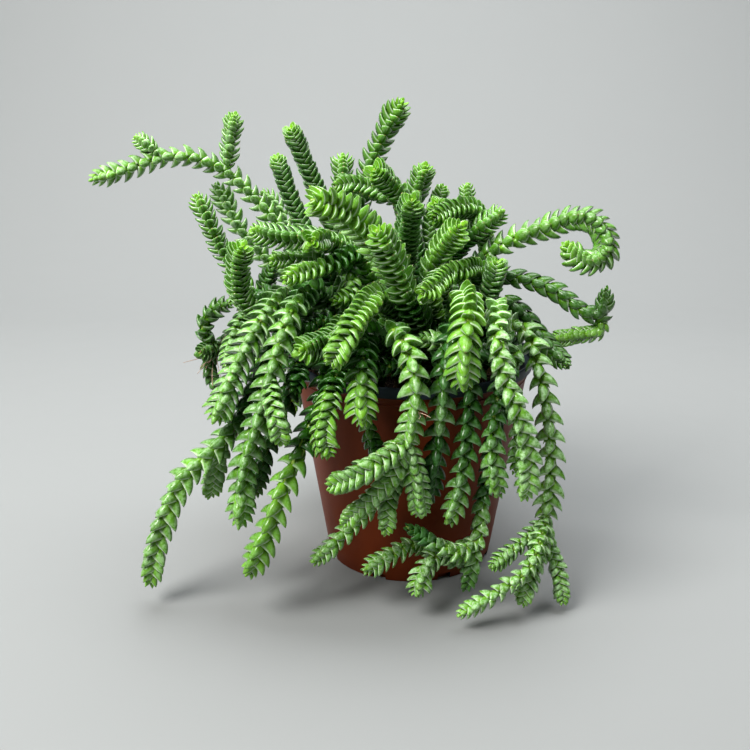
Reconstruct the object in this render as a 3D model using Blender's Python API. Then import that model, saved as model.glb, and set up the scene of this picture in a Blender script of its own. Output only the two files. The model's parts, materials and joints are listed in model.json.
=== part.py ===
"""A trailing crassula in its nursery pot: a filled round pot and leafy stems that arch and hang over its rim.

Lengths are in millimetres until a mesh is made, and in metres from there on. +Z is up, the pot's foot stands
on z = 0 around the origin, and the side that the plant is mostly looked at from faces -Y.
"""
import math
from collections import namedtuple

import bpy
import numpy as np

MM = 0.001

# Pot: a thin nursery pot of 9 cm across the lip
POT_SIDES = 48
FOOT_RADIUS = 31.0
WALL_TOP_RADIUS = 43.0
LIP_RADIUS = 45.0
WALL_TOP = 74.2
LIP_FOOT = 75.0
POT_HEIGHT = 78.8
WALL = 1.0
FLOOR = 1.2
DRAIN_COUNT = 8
DRAIN_SIZE = (5.0, 5.0, 5.0)

# Potting mix, and the plain holes that the stems stand in
MIX_TOP = 71.5
FIT = 0.3
HOLE_SIDES = 6
HOLE_FLOOR = 63.5
STEM_FOOT_RADIUS = 1.8

# Leafy stems: how a stem's leaves grow out to their full reach above its bare foot or past a fork, and close
# in again towards its bud
SAMPLE = 3.0
BARE_TOP = 74.5
BARE_LENGTH = BARE_TOP - HOLE_FLOOR
FOOT_RAMP = 9.0
FORK_START = 1.2
FORK_BACK = 2
FORK_RAMP = 5.0
FORK_SHARE = 0.5
TIP_RAMP = 5.0
TIP_SHARE = 0.62
BUD_LENGTH = 1.3
CORE_SHARE = 0.5
THINNEST_CORE = 0.8
LEAF_LEAN = 0.55
BUD_LEAN = 0.5
BUD_PAIRS = 2.5

# The solids' leaves are fewer and larger than life
COARSER = 1.65
SHORTEST_PITCH = 4.0

# Leaves that would reach another stem stay shorter
LEAF_SHARES = (0.5, 0.6, 0.7, 0.8, 0.9, 1.0)
LEAST_SHARE = 0.45
AIR = 0.35

# Settling: crowded stems make room for each other in small steps, more in depth than across
ROOT_SPACING = 6.6
ROOT_CIRCLE = 36.5
ROOT_PUSH = 0.3
SETTLE_ROUNDS = 200
LIST_EVERY = 10
LISTED_GAP = 5.0
PUSH = 0.65
ACROSS_EASE = 0.35
DEPTH_EASE = 0.6
LEAST_DEPTH_EASE = 0.4
SMOOTHING = 0.5
FORK_SPAN = 26.0
FORK_FREE = 10.0
OVER_LIP = 1.0
LIP_ROUND = 0.5
OPEN_RADIUS = WALL_TOP_RADIUS - 4.0

# The spot that the stems' routes were sighted from, how far its view dips, and the distance at which a
# sighted millimetre is a real one
EYE = np.array((-13.4, -364.0, 184.2))
DIP = math.radians(17.5)
TRUE_DISTANCE = 380.0
FORWARD = np.array((0.0, math.cos(DIP), -math.sin(DIP)))
UPWARD = np.array((0.0, math.sin(DIP), math.cos(DIP)))

# Stems out of sight, behind the others: bearings in degrees, radii and heights in millimetres
HIDDEN_SEED = 9
HIDDEN_HANGING = 9
HANGING_BEARINGS = (50, 150)
HANGING_ROOTS = (35, 31)
OVER_RIM_RADIUS = 47
CREST_HEIGHTS = (91, 99)
HANGING_RADII = (54, 60)
HANGING_ENDS = (8, 50)
FORK_ENDS = (30, 62)
HANGING_REACHES = (4.2, 5.0)
HIDDEN_UPRIGHT = 5
UPRIGHT_BEARINGS = (40, 140)
UPRIGHT_ROOT = 24
UPRIGHT_TOPS = (100, 112)
UPRIGHT_REACHES = (4.4, 5.2)

Strand = namedtuple("Strand", "reach pitch turn route")

# Each stem: where it is rooted (x, y), its leafy strand, and the side branches as pairs of the waypoint where
# one leaves and its strand. A waypoint is (across, up, back): two sighted lengths and the y of the point.
STEMS = {
    "stem_left_arch": (
        (-15, 8), Strand(4.0, 2.2, 0, [
            (-27, 42, 4), (-33, 53, 6), (-42, 63, 7), (-56, 76, 6), (-68, 81, 3), (-78, 81, 2), (-91, 77, -2),
            (-107, 72, -6)]),
        [(5, Strand(3.4, 1.2, 0, [(-84, 85, 0), (-90, 89, 0)])),
         (3, Strand(3.8, 1.3, 0, [(-54, 84, 5), (-53, 91, 4), (-52, 98, 2)])),
         (0, Strand(4.3, 1.7, 0, [(-32, 54, 13), (-37, 63, 15), (-43, 69, 15)]))]),
    "stem_left_grey": (
        (-21, 16), Strand(4.2, 2.1, 0, [
            (-44, 47, 14), (-50, 54, 14), (-54, 61, 13), (-57, 67, 12), (-60, 72, 11)]), []),
    "stem_left_upright": (
        (-26, 2), Strand(3.9, 1.45, 0, [(-50, 35, -4), (-58, 48, -6), (-61, 55, -8), (-67, 68, -8)]), []),
    "stem_left_column": (
        (-28, -13), Strand(4.8, 1.2, 45, [(-50, 31, -24), (-51, 40, -28), (-49, 49, -33)]), []),
    "stem_left_level": (
        (-11, -4), Strand(4.6, 1.3, 45, [
            (-11, 47, -10), (-19, 50, -14), (-26, 51, -17), (-33, 51, -19), (-47, 54, -22)]),
        [(1, Strand(4.6, 1.2, 0, [(-20, 48, -24), (-23, 47, -36)])),
         (1, Strand(4.0, 1.5, 30, [(-25, 43, -9), (-32, 43, -9), (-40, 42, -11)]))]),
    "stem_tall_left_outer": (
        (-12, 4), Strand(4.1, 1.25, 45, [(-23, 46, 0), (-26, 53, 2), (-32, 67, 0), (-37, 82, -4)]), []),
    "stem_tall_left_inner": (
        (-6, 13), Strand(4.3, 1.25, 45, [(-17, 59, 14), (-21, 68, 12), (-28, 84, 8), (-32, 93, 4)]), []),
    "stem_back_short": (
        (-3, 27), Strand(4.7, 1.4, 0, [(-11, 57, 30), (-12, 70, 30), (-12, 83, 30)]), []),
    "stem_top_spire": (
        (4, 20), Strand(4.9, 1.85, 0, [(-6, 63, 22), (-2, 77, 21), (4, 91, 17), (11, 103, 12)]), []),
    "stem_crown_front": (
        (8, 8), Strand(5.0, 1.25, 45, [(12, 56, 8), (9, 65, 6), (4, 71, 2), (-2, 77, -5)]),
        [(1, Strand(4.4, 1.3, 45, [(3, 67, 8), (-9, 71, 4), (-16, 70, 2)]))]),
    "stem_great_left": (
        (0, -10), Strand(6.9, 2.2, 10, [(7, 38, -28), (2, 47, -36), (-5, 55, -43), (-19, 64, -56),
                                        (-26, 65, -60)]), []),
    "stem_great_front": (
        (5, -15), Strand(5.5, 1.9, 10, [(10, 28, -36), (6, 41, -47), (-1, 55, -57)]), []),
    "stem_crown_right": (
        (12, 18), Strand(4.6, 1.2, 0, [(12, 56, 20), (14, 64, 20), (19, 79, 16)]), []),
    "stem_far_right_pair": (
        (20, 22), Strand(3.6, 1.15, 45, [(20, 57, 26), (22, 63, 28), (26, 71, 28)]),
        [(0, Strand(3.3, 1.15, 0, [(30, 57, 25), (34, 64, 26), (34, 72, 28)]))]),
    "stem_dark_column": (
        (6, -3), Strand(5.0, 1.3, 45, [(10, 33, -10), (11, 41, -14), (13, 58, -26), (14, 66, -32)]), []),
    "stem_right_nod": (
        (25, 8), Strand(4.3, 1.3, 45, [(41, 52, 4), (38, 60, 0), (28, 61, -11), (20, 57, -18)]),
        [(0, Strand(4.0, 1.2, 45, [(30, 56, 2), (22, 65, -7)]))]),
    "stem_right_thick": (
        (22, -2), Strand(4.2, 1.15, 45, [(29, 43, -6), (35, 51, -8), (49, 62, -8)]), []),
    "stem_right_broad": (
        (14, -9), Strand(5.1, 1.5, 45, [(19, 29, -22), (29, 46, -33), (35, 54, -39)]), []),
    "stem_right_curl": (
        (29, -5), Strand(4.8, 2.6, 0, [
            (35, 32, -11), (39, 39, -14), (49, 48, -14), (63, 54, -12), (75, 58, -12), (81, 57, -13),
            (85, 52, -14), (86, 48, -15), (83, 43, -17), (78, 42, -18), (73, 45, -18), (70, 50, -18)]), []),
    "stem_right_column": (
        (27, -14), Strand(4.7, 1.2, 45, [(40, 20, -24), (42, 27, -27), (46, 43, -31)]), []),
    "stem_right_arch": (
        (33, 5), Strand(3.8, 2.5, 0, [
            (41, 31, 4), (46, 37, 4), (52, 36, 2), (67, 31, -2), (78, 23, -4), (83, 22, -4), (86, 33, -6)]),
        [(5, Strand(3.6, 1.2, 0, [(84, 17, -3), (76, 15, -4), (65, 13, -8)]))]),
    "stem_right_spray": (
        (35, -7), Strand(4.2, 2.2, 0, [
            (41, 21, -10), (45, 26, -11), (50, 24, -11), (61, 13, -14), (67, 7, -17), (72, 2, -23)]), []),
    "stem_front_nod": (
        (17, -13), Strand(4.4, 1.2, 45, [(39, 38, -18), (35, 37, -26), (23, 29, -39), (16, 26, -45)]), []),
    "stem_front_ladder": (
        (19, -19), Strand(5.6, 1.8, 0, [
            (32, 31, -38), (34, 27, -48), (34, 20, -57), (33, 11, -61), (32, -6, -62)]), []),
    "stem_front_left_fall": (
        (-3, -17), Strand(5.4, 1.35, 45, [
            (9, 29, -32), (4, 29, -42), (-5, 18, -55), (-9, 11, -59), (-15, 2, -63)]), []),
    "stem_front_fan": (
        (-14, -18), Strand(5.0, 1.2, 0, [(-9, 14, -40), (-14, 10, -47), (-21, 8, -52), (-28, 6, -56)]),
        [(0, Strand(3.6, 1.6, 0, [(-14, 17, -36), (-21, 14, -40), (-28, 13, -42)]))]),
    "stem_front_pendant": (
        (-6, -23), Strand(5.4, 1.9, 0, [(-4, 11, -44), (-5, 5, -53), (-6, -4, -59), (-6, -20, -63)]), []),
    "stem_front_cascade": (
        (0, -27), Strand(4.9, 2.6, 0, [
            (1, 14, -42), (6, 11, -50), (9, 7, -55), (12, 0, -58), (13, -13, -59), (11, -26, -59),
            (10, -31, -59)]),
        [(6, Strand(4.9, 1.55, 45, [(0, -34, -66), (-12, -40, -69), (-19, -42, -70)])),
         (6, Strand(4.1, 1.5, 0, [(13, -35, -59), (15, -46, -59), (16, -53, -59)])),
         (6, Strand(4.1, 1.5, 45, [(7, -38, -59), (2, -43, -60), (-12, -56, -62)])),
         (6, Strand(3.6, 1.8, 20, [(8, -40, -53), (3, -46, -51), (-11, -59, -52), (-24, -71, -54)])),
         (6, Strand(3.7, 1.5, 45, [(9, -38, -54), (6, -46, -56), (5, -60, -59)]))]),
    "stem_front_strand": (
        (9, -27), Strand(4.7, 2.55, 0, [
            (27, 16, -44), (25, 9, -50), (25, 2, -54), (25, -13, -55), (24, -28, -55), (20, -50, -53)]),
        [(0, Strand(3.6, 2.2, 0, [(20, 13, -40), (14, 14, -38), (8, 15, -37)]))]),
    "stem_right_strand": (
        (19, -26), Strand(4.8, 2.75, 20, [
            (42, 9, -42), (41, 0, -49), (39, -9, -52), (35, -26, -54), (30, -43, -55), (25, -57, -55)]), []),
    "stem_right_weave": (
        (27, -22), Strand(4.1, 2.45, 45, [
            (47, 9, -34), (47, -2, -42), (46, -13, -45), (43, -33, -47), (39, -52, -49), (38, -61, -50),
            (33, -80, -50)]),
        [(5, Strand(3.8, 2.2, 45, [(32, -65, -54), (17, -59, -56), (10, -55, -56)])),
         (5, Strand(4.4, 1.65, 0, [(31, -66, -50), (25, -66, -53), (20, -70, -56), (15, -83, -60)])),
         (5, Strand(4.0, 1.75, 45, [(31, -69, -46), (14, -64, -48), (7, -67, -51), (-5, -74, -54)]))]),
    "stem_right_inner_fall": (
        (25, -18), Strand(4.3, 2.5, 20, [
            (46, 11, -36), (45, 0, -46), (43, -9, -53), (42, -24, -57), (45, -46, -58)]),
        [(1, Strand(3.4, 2.3, 0, [(48, -9, -42), (50, -19, -44), (50, -37, -45)]))]),
    "stem_right_fall": (
        (28, -15), Strand(4.7, 2.5, 45, [
            (40, 26, -36), (42, 22, -50), (43, 14, -58), (46, 0, -60), (51, -13, -60), (56, -28, -59),
            (55, -47, -57)]), []),
    "stem_right_long": (
        (35, -14), Strand(5.2, 3.2, 20, [
            (44, 17, -15), (49, 16, -20), (53, 10, -26), (59, -3, -32), (63, -16, -34), (65, -33, -37),
            (64, -51, -43), (63, -60, -46)]),
        [(7, Strand(4.3, 1.65, 45, [(62, -64, -49), (58, -74, -55), (54, -86, -58)])),
         (7, Strand(3.6, 1.6, 45, [(64, -64, -46), (67, -71, -48), (70, -88, -54)])),
         (7, Strand(3.4, 1.6, 0, [(58, -60, -48), (47, -68, -52), (41, -72, -54)])),
         (7, Strand(3.4, 2.1, 0, [(60, -65, -53), (57, -72, -58), (47, -80, -61), (30, -90, -64)]))]),
    "stem_left_fall": (
        (-22, -15), Strand(5.2, 2.3, 0, [
            (-25, 32, -28), (-29, 27, -40), (-34, 13, -51), (-38, -1, -54), (-43, -17, -56), (-48, -33, -56),
            (-50, -58, -56)]),
        [(3, Strand(4.3, 1.5, 45, [(-37, -12, -61), (-33, -27, -63)]))]),
    "stem_left_broad": (
        (-29, -12), Strand(5.3, 1.8, 0, [
            (-32, 29, -22), (-37, 26, -32), (-42, 19, -39), (-50, 4, -45), (-55, -10, -49), (-59, -19, -51)]),
        [(0, Strand(4.2, 1.6, 20, [(-42, 28, -16), (-50, 17, -24), (-55, 2, -31)]))]),
    "stem_left_long": (
        (-31, -17), Strand(5.4, 2.6, 20, [
            (-35, 11, -30), (-40, 4, -37), (-49, -12, -45), (-57, -25, -47), (-70, -38, -47), (-78, -54, -47),
            (-84, -79, -47)]),
        [(3, Strand(4.6, 1.9, 20, [(-59, -31, -42), (-62, -46, -39)]))]),
    "stem_left_inner_fall": (
        (-23, -21), Strand(4.4, 2.3, 0, [
            (-26, 11, -36), (-29, 4, -42), (-35, -15, -45), (-42, -30, -45), (-45, -46, -45)]),
        [(1, Strand(4.3, 1.5, 20, [(-28, -3, -47), (-30, -8, -48)]))]),
    "stem_left_loop": (
        (-35, 3), Strand(3.7, 1.9, 20, [(-42, 26, 4), (-50, 18, 4), (-57, 11, 2), (-62, 5, 0), (-58, -7, 0)]),
        [(0, Strand(3.8, 2.0, 30, [(-42, 32, -3), (-38, 41, -6)])),
         (2, Strand(4.0, 2.8, 0, [
             (-62, 13, -1), (-63, 19, -3), (-60, 24, -4), (-55, 27, -4), (-50, 28, -5)])),
         (2, Strand(4.0, 1.6, 0, [(-62, 9, -3), (-66, 8, -9)]))]),
    "stem_front_left_drop": (
        (-10, -24), Strand(4.7, 1.4, 20, [(-12, 3, -48), (-17, -12, -61), (-19, -24, -66), (-16, -31, -68)]),
        []),
    "stem_front_left_long": (
        (-16, -26), Strand(5.6, 3.0, 20, [
            (-16, -4, -48), (-20, -12, -55), (-27, -27, -61), (-34, -41, -62), (-39, -55, -60),
            (-48, -75, -56)]), []),
    "stem_left_nod": (
        (-8, -9), Strand(4.3, 1.9, 20, [(-9, 46, -18), (-17, 42, -26), (-35, 33, -39)]),
        [(0, Strand(3.8, 2.0, 20, [(-9, 35, -20), (-11, 29, -26), (-17, 28, -30)]))]),
    "stem_centre_drop": (
        (3, -31), Strand(3.4, 2.0, 0, [(-3, 1, -46), (-4, -9, -49), (-3, -19, -50), (1, -31, -50)]), []),
}


def clear_scene():
    for item in list(bpy.data.objects):
        bpy.data.objects.remove(item, do_unlink=True)


def material(name, colour, roughness):
    """A plain dielectric material."""
    made = bpy.data.materials.new(name)
    made.use_nodes = True
    shader = made.node_tree.nodes["Principled BSDF"]
    shader.inputs["Base Color"].default_value = (*colour, 1.0)
    shader.inputs["Roughness"].default_value = roughness
    shader.inputs["Metallic"].default_value = 0.0
    return made


def add_object(name, vertices, faces, look):
    """One object of the given vertices (mm) and faces."""
    mesh = bpy.data.meshes.new(name)
    mesh.from_pydata([tuple(v) for v in np.asarray(vertices, float) * MM], [], faces)
    mesh.materials.append(look)
    made = bpy.data.objects.new(name, mesh)
    bpy.context.scene.collection.objects.link(made)
    return made


def turned(profile, sides):
    """Vertices and faces of a closed profile turned about Z, whose first and last points are on the axis."""
    vertices = [(0.0, 0.0, profile[0][1])]
    for radius, height in profile[1:-1]:
        for side in range(sides):
            angle = 2 * math.pi * side / sides
            vertices.append((radius * math.cos(angle), radius * math.sin(angle), height))
    vertices.append((0.0, 0.0, profile[-1][1]))
    rings = len(profile) - 2
    last = len(vertices) - 1
    faces = []
    for side in range(sides):
        following = (side + 1) % sides
        faces.append((0, 1 + following, 1 + side))
        for ring in range(rings - 1):
            low = 1 + ring * sides
            high = low + sides
            faces.append((low + side, low + following, high + following, high + side))
        top = 1 + (rings - 1) * sides
        faces.append((top + side, top + following, last))
    return vertices, faces


def wall_radius(height):
    """The pot wall's outer radius at a height."""
    return FOOT_RADIUS + (WALL_TOP_RADIUS - FOOT_RADIUS) * height / WALL_TOP


def boolean(target, cutter, operation, solver="EXACT"):
    """Applies one Boolean to the target and removes the cutter."""
    step = target.modifiers.new("step", "BOOLEAN")
    step.operation = operation
    step.solver = solver
    if isinstance(cutter, bpy.types.Collection):
        step.operand_type = "COLLECTION"
        step.collection = cutter
    else:
        step.object = cutter
    bpy.context.view_layer.update()
    shaped = bpy.data.meshes.new_from_object(target.evaluated_get(bpy.context.evaluated_depsgraph_get()))
    target.modifiers.remove(step)
    target.data = shaped
    if isinstance(cutter, bpy.types.Collection):
        for item in list(cutter.objects):
            bpy.data.objects.remove(item, do_unlink=True)
        bpy.data.collections.remove(cutter)
    else:
        bpy.data.objects.remove(cutter, do_unlink=True)


def drain_cutter(look):
    """Boxes across the foot's corner, one for each drainage cut-out."""
    deep, wide, tall = DRAIN_SIZE
    vertices = []
    faces = []
    for number in range(DRAIN_COUNT):
        angle = 2 * math.pi * (number + 0.5) / DRAIN_COUNT
        outward = np.array((math.cos(angle), math.sin(angle), 0.0))
        sideways = np.array((-math.sin(angle), math.cos(angle), 0.0))
        middle = outward * (FOOT_RADIUS + 0.5)
        first = len(vertices)
        for rise in (-tall / 2, tall / 2):
            for out, side in ((-1, -1), (1, -1), (1, 1), (-1, 1)):
                vertices.append(middle + outward * out * deep / 2 + sideways * side * wide / 2 + (0, 0, rise))
        corners = [first + corner for corner in range(8)]
        a, b, c, d, e, f, g, h = corners
        faces += [(a, d, c, b), (e, f, g, h), (a, b, f, e), (b, c, g, f), (c, d, h, g), (d, a, e, h)]
    return add_object("drain_cutter", vertices, faces, look)


def make_pot(look):
    """The pot: a thin turned wall and floor, a turned-out lip and cut-outs at the foot."""
    profile = [
        (0.0, 0.0), (FOOT_RADIUS, 0.0), (WALL_TOP_RADIUS, WALL_TOP), (LIP_RADIUS - 0.3, LIP_FOOT),
        (LIP_RADIUS, POT_HEIGHT), (LIP_RADIUS - WALL, POT_HEIGHT), (LIP_RADIUS - WALL - 0.3, LIP_FOOT + WALL),
        (WALL_TOP_RADIUS - WALL, WALL_TOP + 0.6), (wall_radius(FLOOR) - WALL, FLOOR), (0.0, FLOOR)]
    pot = add_object("pot", *turned(profile, POT_SIDES), look)
    boolean(pot, drain_cutter(look), "DIFFERENCE")
    return pot


def hole_cutter(roots, look):
    """Upright prisms for the holes that the stems stand in."""
    radius = (STEM_FOOT_RADIUS + FIT) / math.cos(math.pi / HOLE_SIDES)
    vertices = []
    faces = []
    for x, y in roots:
        first = len(vertices)
        for height in (HOLE_FLOOR, MIX_TOP + 2.0):
            for side in range(HOLE_SIDES):
                angle = 2 * math.pi * side / HOLE_SIDES
                vertices.append((x + radius * math.cos(angle), y + radius * math.sin(angle), height))
        low = [first + side for side in range(HOLE_SIDES)]
        high = [first + HOLE_SIDES + side for side in range(HOLE_SIDES)]
        faces.append(tuple(reversed(low)))
        faces.append(tuple(high))
        for side in range(HOLE_SIDES):
            following = (side + 1) % HOLE_SIDES
            faces.append((low[side], low[following], high[following], high[side]))
    return add_object("hole_cutter", vertices, faces, look)


def make_mix(roots, look):
    """The potting mix that fills the pot, with a hole for each stem."""
    foot = FLOOR + FIT
    profile = [(0.0, foot), (wall_radius(foot) - WALL - FIT, foot),
               (wall_radius(MIX_TOP) - WALL - FIT, MIX_TOP), (0.0, MIX_TOP)]
    mix = add_object("potting_mix", *turned(profile, POT_SIDES), look)
    boolean(mix, hole_cutter(roots, look), "DIFFERENCE")
    return mix


def sighted(across, up, back):
    """The point at y = back that is seen this far across and up from the middle of the view."""
    ray = FORWARD + UPWARD * (up / TRUE_DISTANCE) + np.array((across / TRUE_DISTANCE, 0.0, 0.0))
    return EYE + ray * (back - EYE[1]) / ray[1]


def smooth_curve(points, spacing):
    """Points about this far apart along the smooth curve through the given ones."""
    points = np.asarray(points, float)
    knots = np.concatenate(([0.0], np.cumsum(np.linalg.norm(np.diff(points, axis=0), axis=1))))
    slopes = np.gradient(points, knots, axis=0)
    fine = np.linspace(0.0, knots[-1], max(12, int(knots[-1] * 3)))
    left = np.clip(np.searchsorted(knots, fine, side="right") - 1, 0, len(knots) - 2)
    width = (knots[left + 1] - knots[left])[:, None]
    t = (fine - knots[left])[:, None] / width
    curve = ((2 * t**3 - 3 * t**2 + 1) * points[left] + (t**3 - 2 * t**2 + t) * width * slopes[left]
             + (3 * t**2 - 2 * t**3) * points[left + 1] + (t**3 - t**2) * width * slopes[left + 1])
    along = np.concatenate(([0.0], np.cumsum(np.linalg.norm(np.diff(curve, axis=0), axis=1))))
    stops = np.linspace(0.0, along[-1], max(3, round(along[-1] / spacing) + 1))
    return np.column_stack([np.interp(stops, along, curve[:, axis]) for axis in range(3)])


def lengths_along(points):
    return np.concatenate(([0.0], np.cumsum(np.linalg.norm(np.diff(points, axis=0), axis=1))))


class Shoot:
    """One leafy strand: a rooted stem or a side branch of one."""

    def __init__(self, node, strand, points, parent=None, joint=0):
        self.node = node
        self.reach = strand.reach
        self.pitch = strand.pitch
        self.turn = math.radians(strand.turn)
        self.points = points
        self.parent = parent
        self.joint = joint

    def reach_at(self, along, total):
        """How far leaves reach from the centreline at a length along it."""
        if self.parent is None:
            grown = np.clip((along - BARE_LENGTH) / FOOT_RAMP, 0.0, 1.0)
            start = STEM_FOOT_RADIUS + (self.reach - STEM_FOOT_RADIUS) * grown
        else:
            start = self.reach * (FORK_SHARE + (1 - FORK_SHARE) * np.clip(along / FORK_RAMP, 0.0, 1.0))
        left = np.sqrt(np.clip((total - along) / TIP_RAMP, 0.0, 1.0))
        return np.minimum(start, self.reach * (TIP_SHARE + (1 - TIP_SHARE) * left))


def spread_out(source, number, count, bearings, jitter):
    """The outward and sideways directions at one of some even but slightly shuffled bearings."""
    first, last = bearings
    bearing = math.radians(first + (last - first) * (number + 0.5) / count + source.uniform(-jitter, jitter))
    outward = np.array((math.cos(bearing), math.sin(bearing), 0.0))
    return outward, np.array((-outward[1], outward[0], 0.0))


def hanging_stem(source, number):
    """A stem that arches over the rim and hangs, with a side branch that hangs beside it."""
    outward, sideways = spread_out(source, number, HIDDEN_HANGING, HANGING_BEARINGS, 3)
    swing = sideways * source.uniform(-1, 1)
    crest = source.uniform(*CREST_HEIGHTS)
    out = source.uniform(*HANGING_RADII)
    bottom = source.uniform(*HANGING_ENDS)
    route = [outward * OVER_RIM_RADIUS + (0, 0, crest),
             outward * out + swing * 3 + (0, 0, crest - 10),
             outward * (out + 3) + swing * 7 + (0, 0, (crest + bottom) / 2),
             outward * (out + 1) + swing * 12 + (0, 0, bottom)]
    end = source.uniform(*FORK_ENDS)
    fork = [outward * (out + 5) - swing * 6 + (0, 0, crest - 3),
            outward * (out + 9) - swing * 11 + (0, 0, crest - 18),
            outward * (out + 9) - swing * 15 + (0, 0, end)]
    reach = source.uniform(*HANGING_REACHES)
    turn = 45 * (number % 2)
    return (outward * HANGING_ROOTS[number % 2], Strand(reach, 2.4, turn, route),
            [(0, Strand(reach - 0.5, 2.2, 45, fork))])


def upright_stem(source, number):
    """A stem that stands in the crown and leans out."""
    outward, _ = spread_out(source, number, HIDDEN_UPRIGHT, UPRIGHT_BEARINGS, 5)
    route = [outward * 30 + (0, 0, 84), outward * 37 + (0, 0, 94),
             outward * 46 + (0, 0, source.uniform(*UPRIGHT_TOPS))]
    return outward * UPRIGHT_ROOT, Strand(source.uniform(*UPRIGHT_REACHES), 1.4, 45, route), []


def hidden_stems():
    """Stems behind the pot, which stand, arch, fork and hang as those in front do. Their waypoints are real
    points."""
    source = np.random.default_rng(HIDDEN_SEED)
    found = {}
    for number in range(HIDDEN_HANGING):
        found[f"stem_hidden_hanging_{number + 1}"] = hanging_stem(source, number)
    for number in range(HIDDEN_UPRIGHT):
        found[f"stem_hidden_upright_{number + 1}"] = upright_stem(source, number)
    return found


def spread_roots(roots):
    """Root places eased apart until none crowds another, all of them inside the pot."""
    places = np.array([place[:2] for place in roots], float)
    for _ in range(SETTLE_ROUNDS):
        between = places[:, None] - places[None]
        distance = np.sqrt((between ** 2).sum(axis=2)) + 100 * np.eye(len(places))
        short = np.clip(ROOT_SPACING - distance, 0.0, None)
        places = places + ROOT_PUSH * (between / distance[..., None] * short[..., None]).sum(axis=1)
        out = np.sqrt((places ** 2).sum(axis=1))
        places *= np.minimum(1.0, ROOT_CIRCLE / out)[:, None]
    return np.round(places, 1)


def rooted_shoot(node, root, strand, route):
    """A stem that stands upright in its hole before it follows its route."""
    upright = [(root[0], root[1], HOLE_FLOOR + FIT), (root[0], root[1], 0.5 * (HOLE_FLOOR + BARE_TOP)),
               (root[0], root[1], BARE_TOP)]
    return Shoot(node, strand, smooth_curve(np.vstack([upright, route]), SAMPLE))


def grow(node, root, strand, branches):
    """A rooted stem's shoots, with routes in real points."""
    stem = rooted_shoot(node, root, strand, strand.route)
    shoots = [stem]
    for waypoint, branch in branches:
        joint = int(np.argmin(np.linalg.norm(stem.points - strand.route[waypoint], axis=1)))
        joint = min(joint, len(stem.points) - 1 - FORK_BACK)
        course = [stem.points[joint], *branch.route]
        shoots.append(Shoot(node, branch, smooth_curve(course, SAMPLE), stem, joint))
    return shoots


def all_shoots():
    """Every shoot of the plant along its chosen route, before the stems make room for each other."""
    stems = {}
    for node, (root, strand, branches) in STEMS.items():
        placed = [(waypoint, branch._replace(route=[sighted(*spot) for spot in branch.route]))
                  for waypoint, branch in branches]
        stems[node] = (root, strand._replace(route=[sighted(*spot) for spot in strand.route]), placed)
    stems.update(hidden_stems())
    roots = spread_roots([root for root, _, _ in stems.values()])
    shoots = []
    for root, (node, (_, strand, branches)) in zip(roots, stems.items()):
        shoots += grow(node, root, strand, branches)
    return shoots


def clear_of_pot(spots, reach):
    """Spots moved, where they need it, to lie this far clear of the pot, the mix and the surface."""
    moved = spots.copy()
    out = np.hypot(moved[:, 0], moved[:, 1])
    away = moved[:, :2] / np.maximum(out, 1e-6)[:, None]
    # Beside the wall and the lip
    height = moved[:, 2]
    wall = np.where(height < WALL_TOP, wall_radius(np.minimum(height, WALL_TOP)), LIP_RADIUS) + reach
    beside = (height < POT_HEIGHT) & (out > OPEN_RADIUS) & (out < wall)
    moved[beside, :2] = away[beside] * wall[beside, None]
    # Round the lip's top edge
    out = np.hypot(moved[:, 0], moved[:, 1])
    from_lip = np.column_stack([out - (LIP_RADIUS - LIP_ROUND), moved[:, 2] - POT_HEIGHT])
    distance = np.maximum(np.linalg.norm(from_lip, axis=1), 1e-6)
    needed = reach + LIP_ROUND
    near = (distance < needed) & (moved[:, 2] > POT_HEIGHT)
    push = from_lip * ((needed - distance) / distance)[:, None]
    moved[near, :2] += away[near] * push[near, :1]
    moved[near, 2] += push[near, 1]
    # Above the mix, and above the surface that the pot stands on
    inside = (np.hypot(moved[:, 0], moved[:, 1]) < WALL_TOP_RADIUS) & (moved[:, 2] > HOLE_FLOOR)
    moved[inside, 2] = np.maximum(moved[inside, 2], MIX_TOP + reach[inside])
    moved[:, 2] = np.maximum(moved[:, 2], reach)
    return moved


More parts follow.
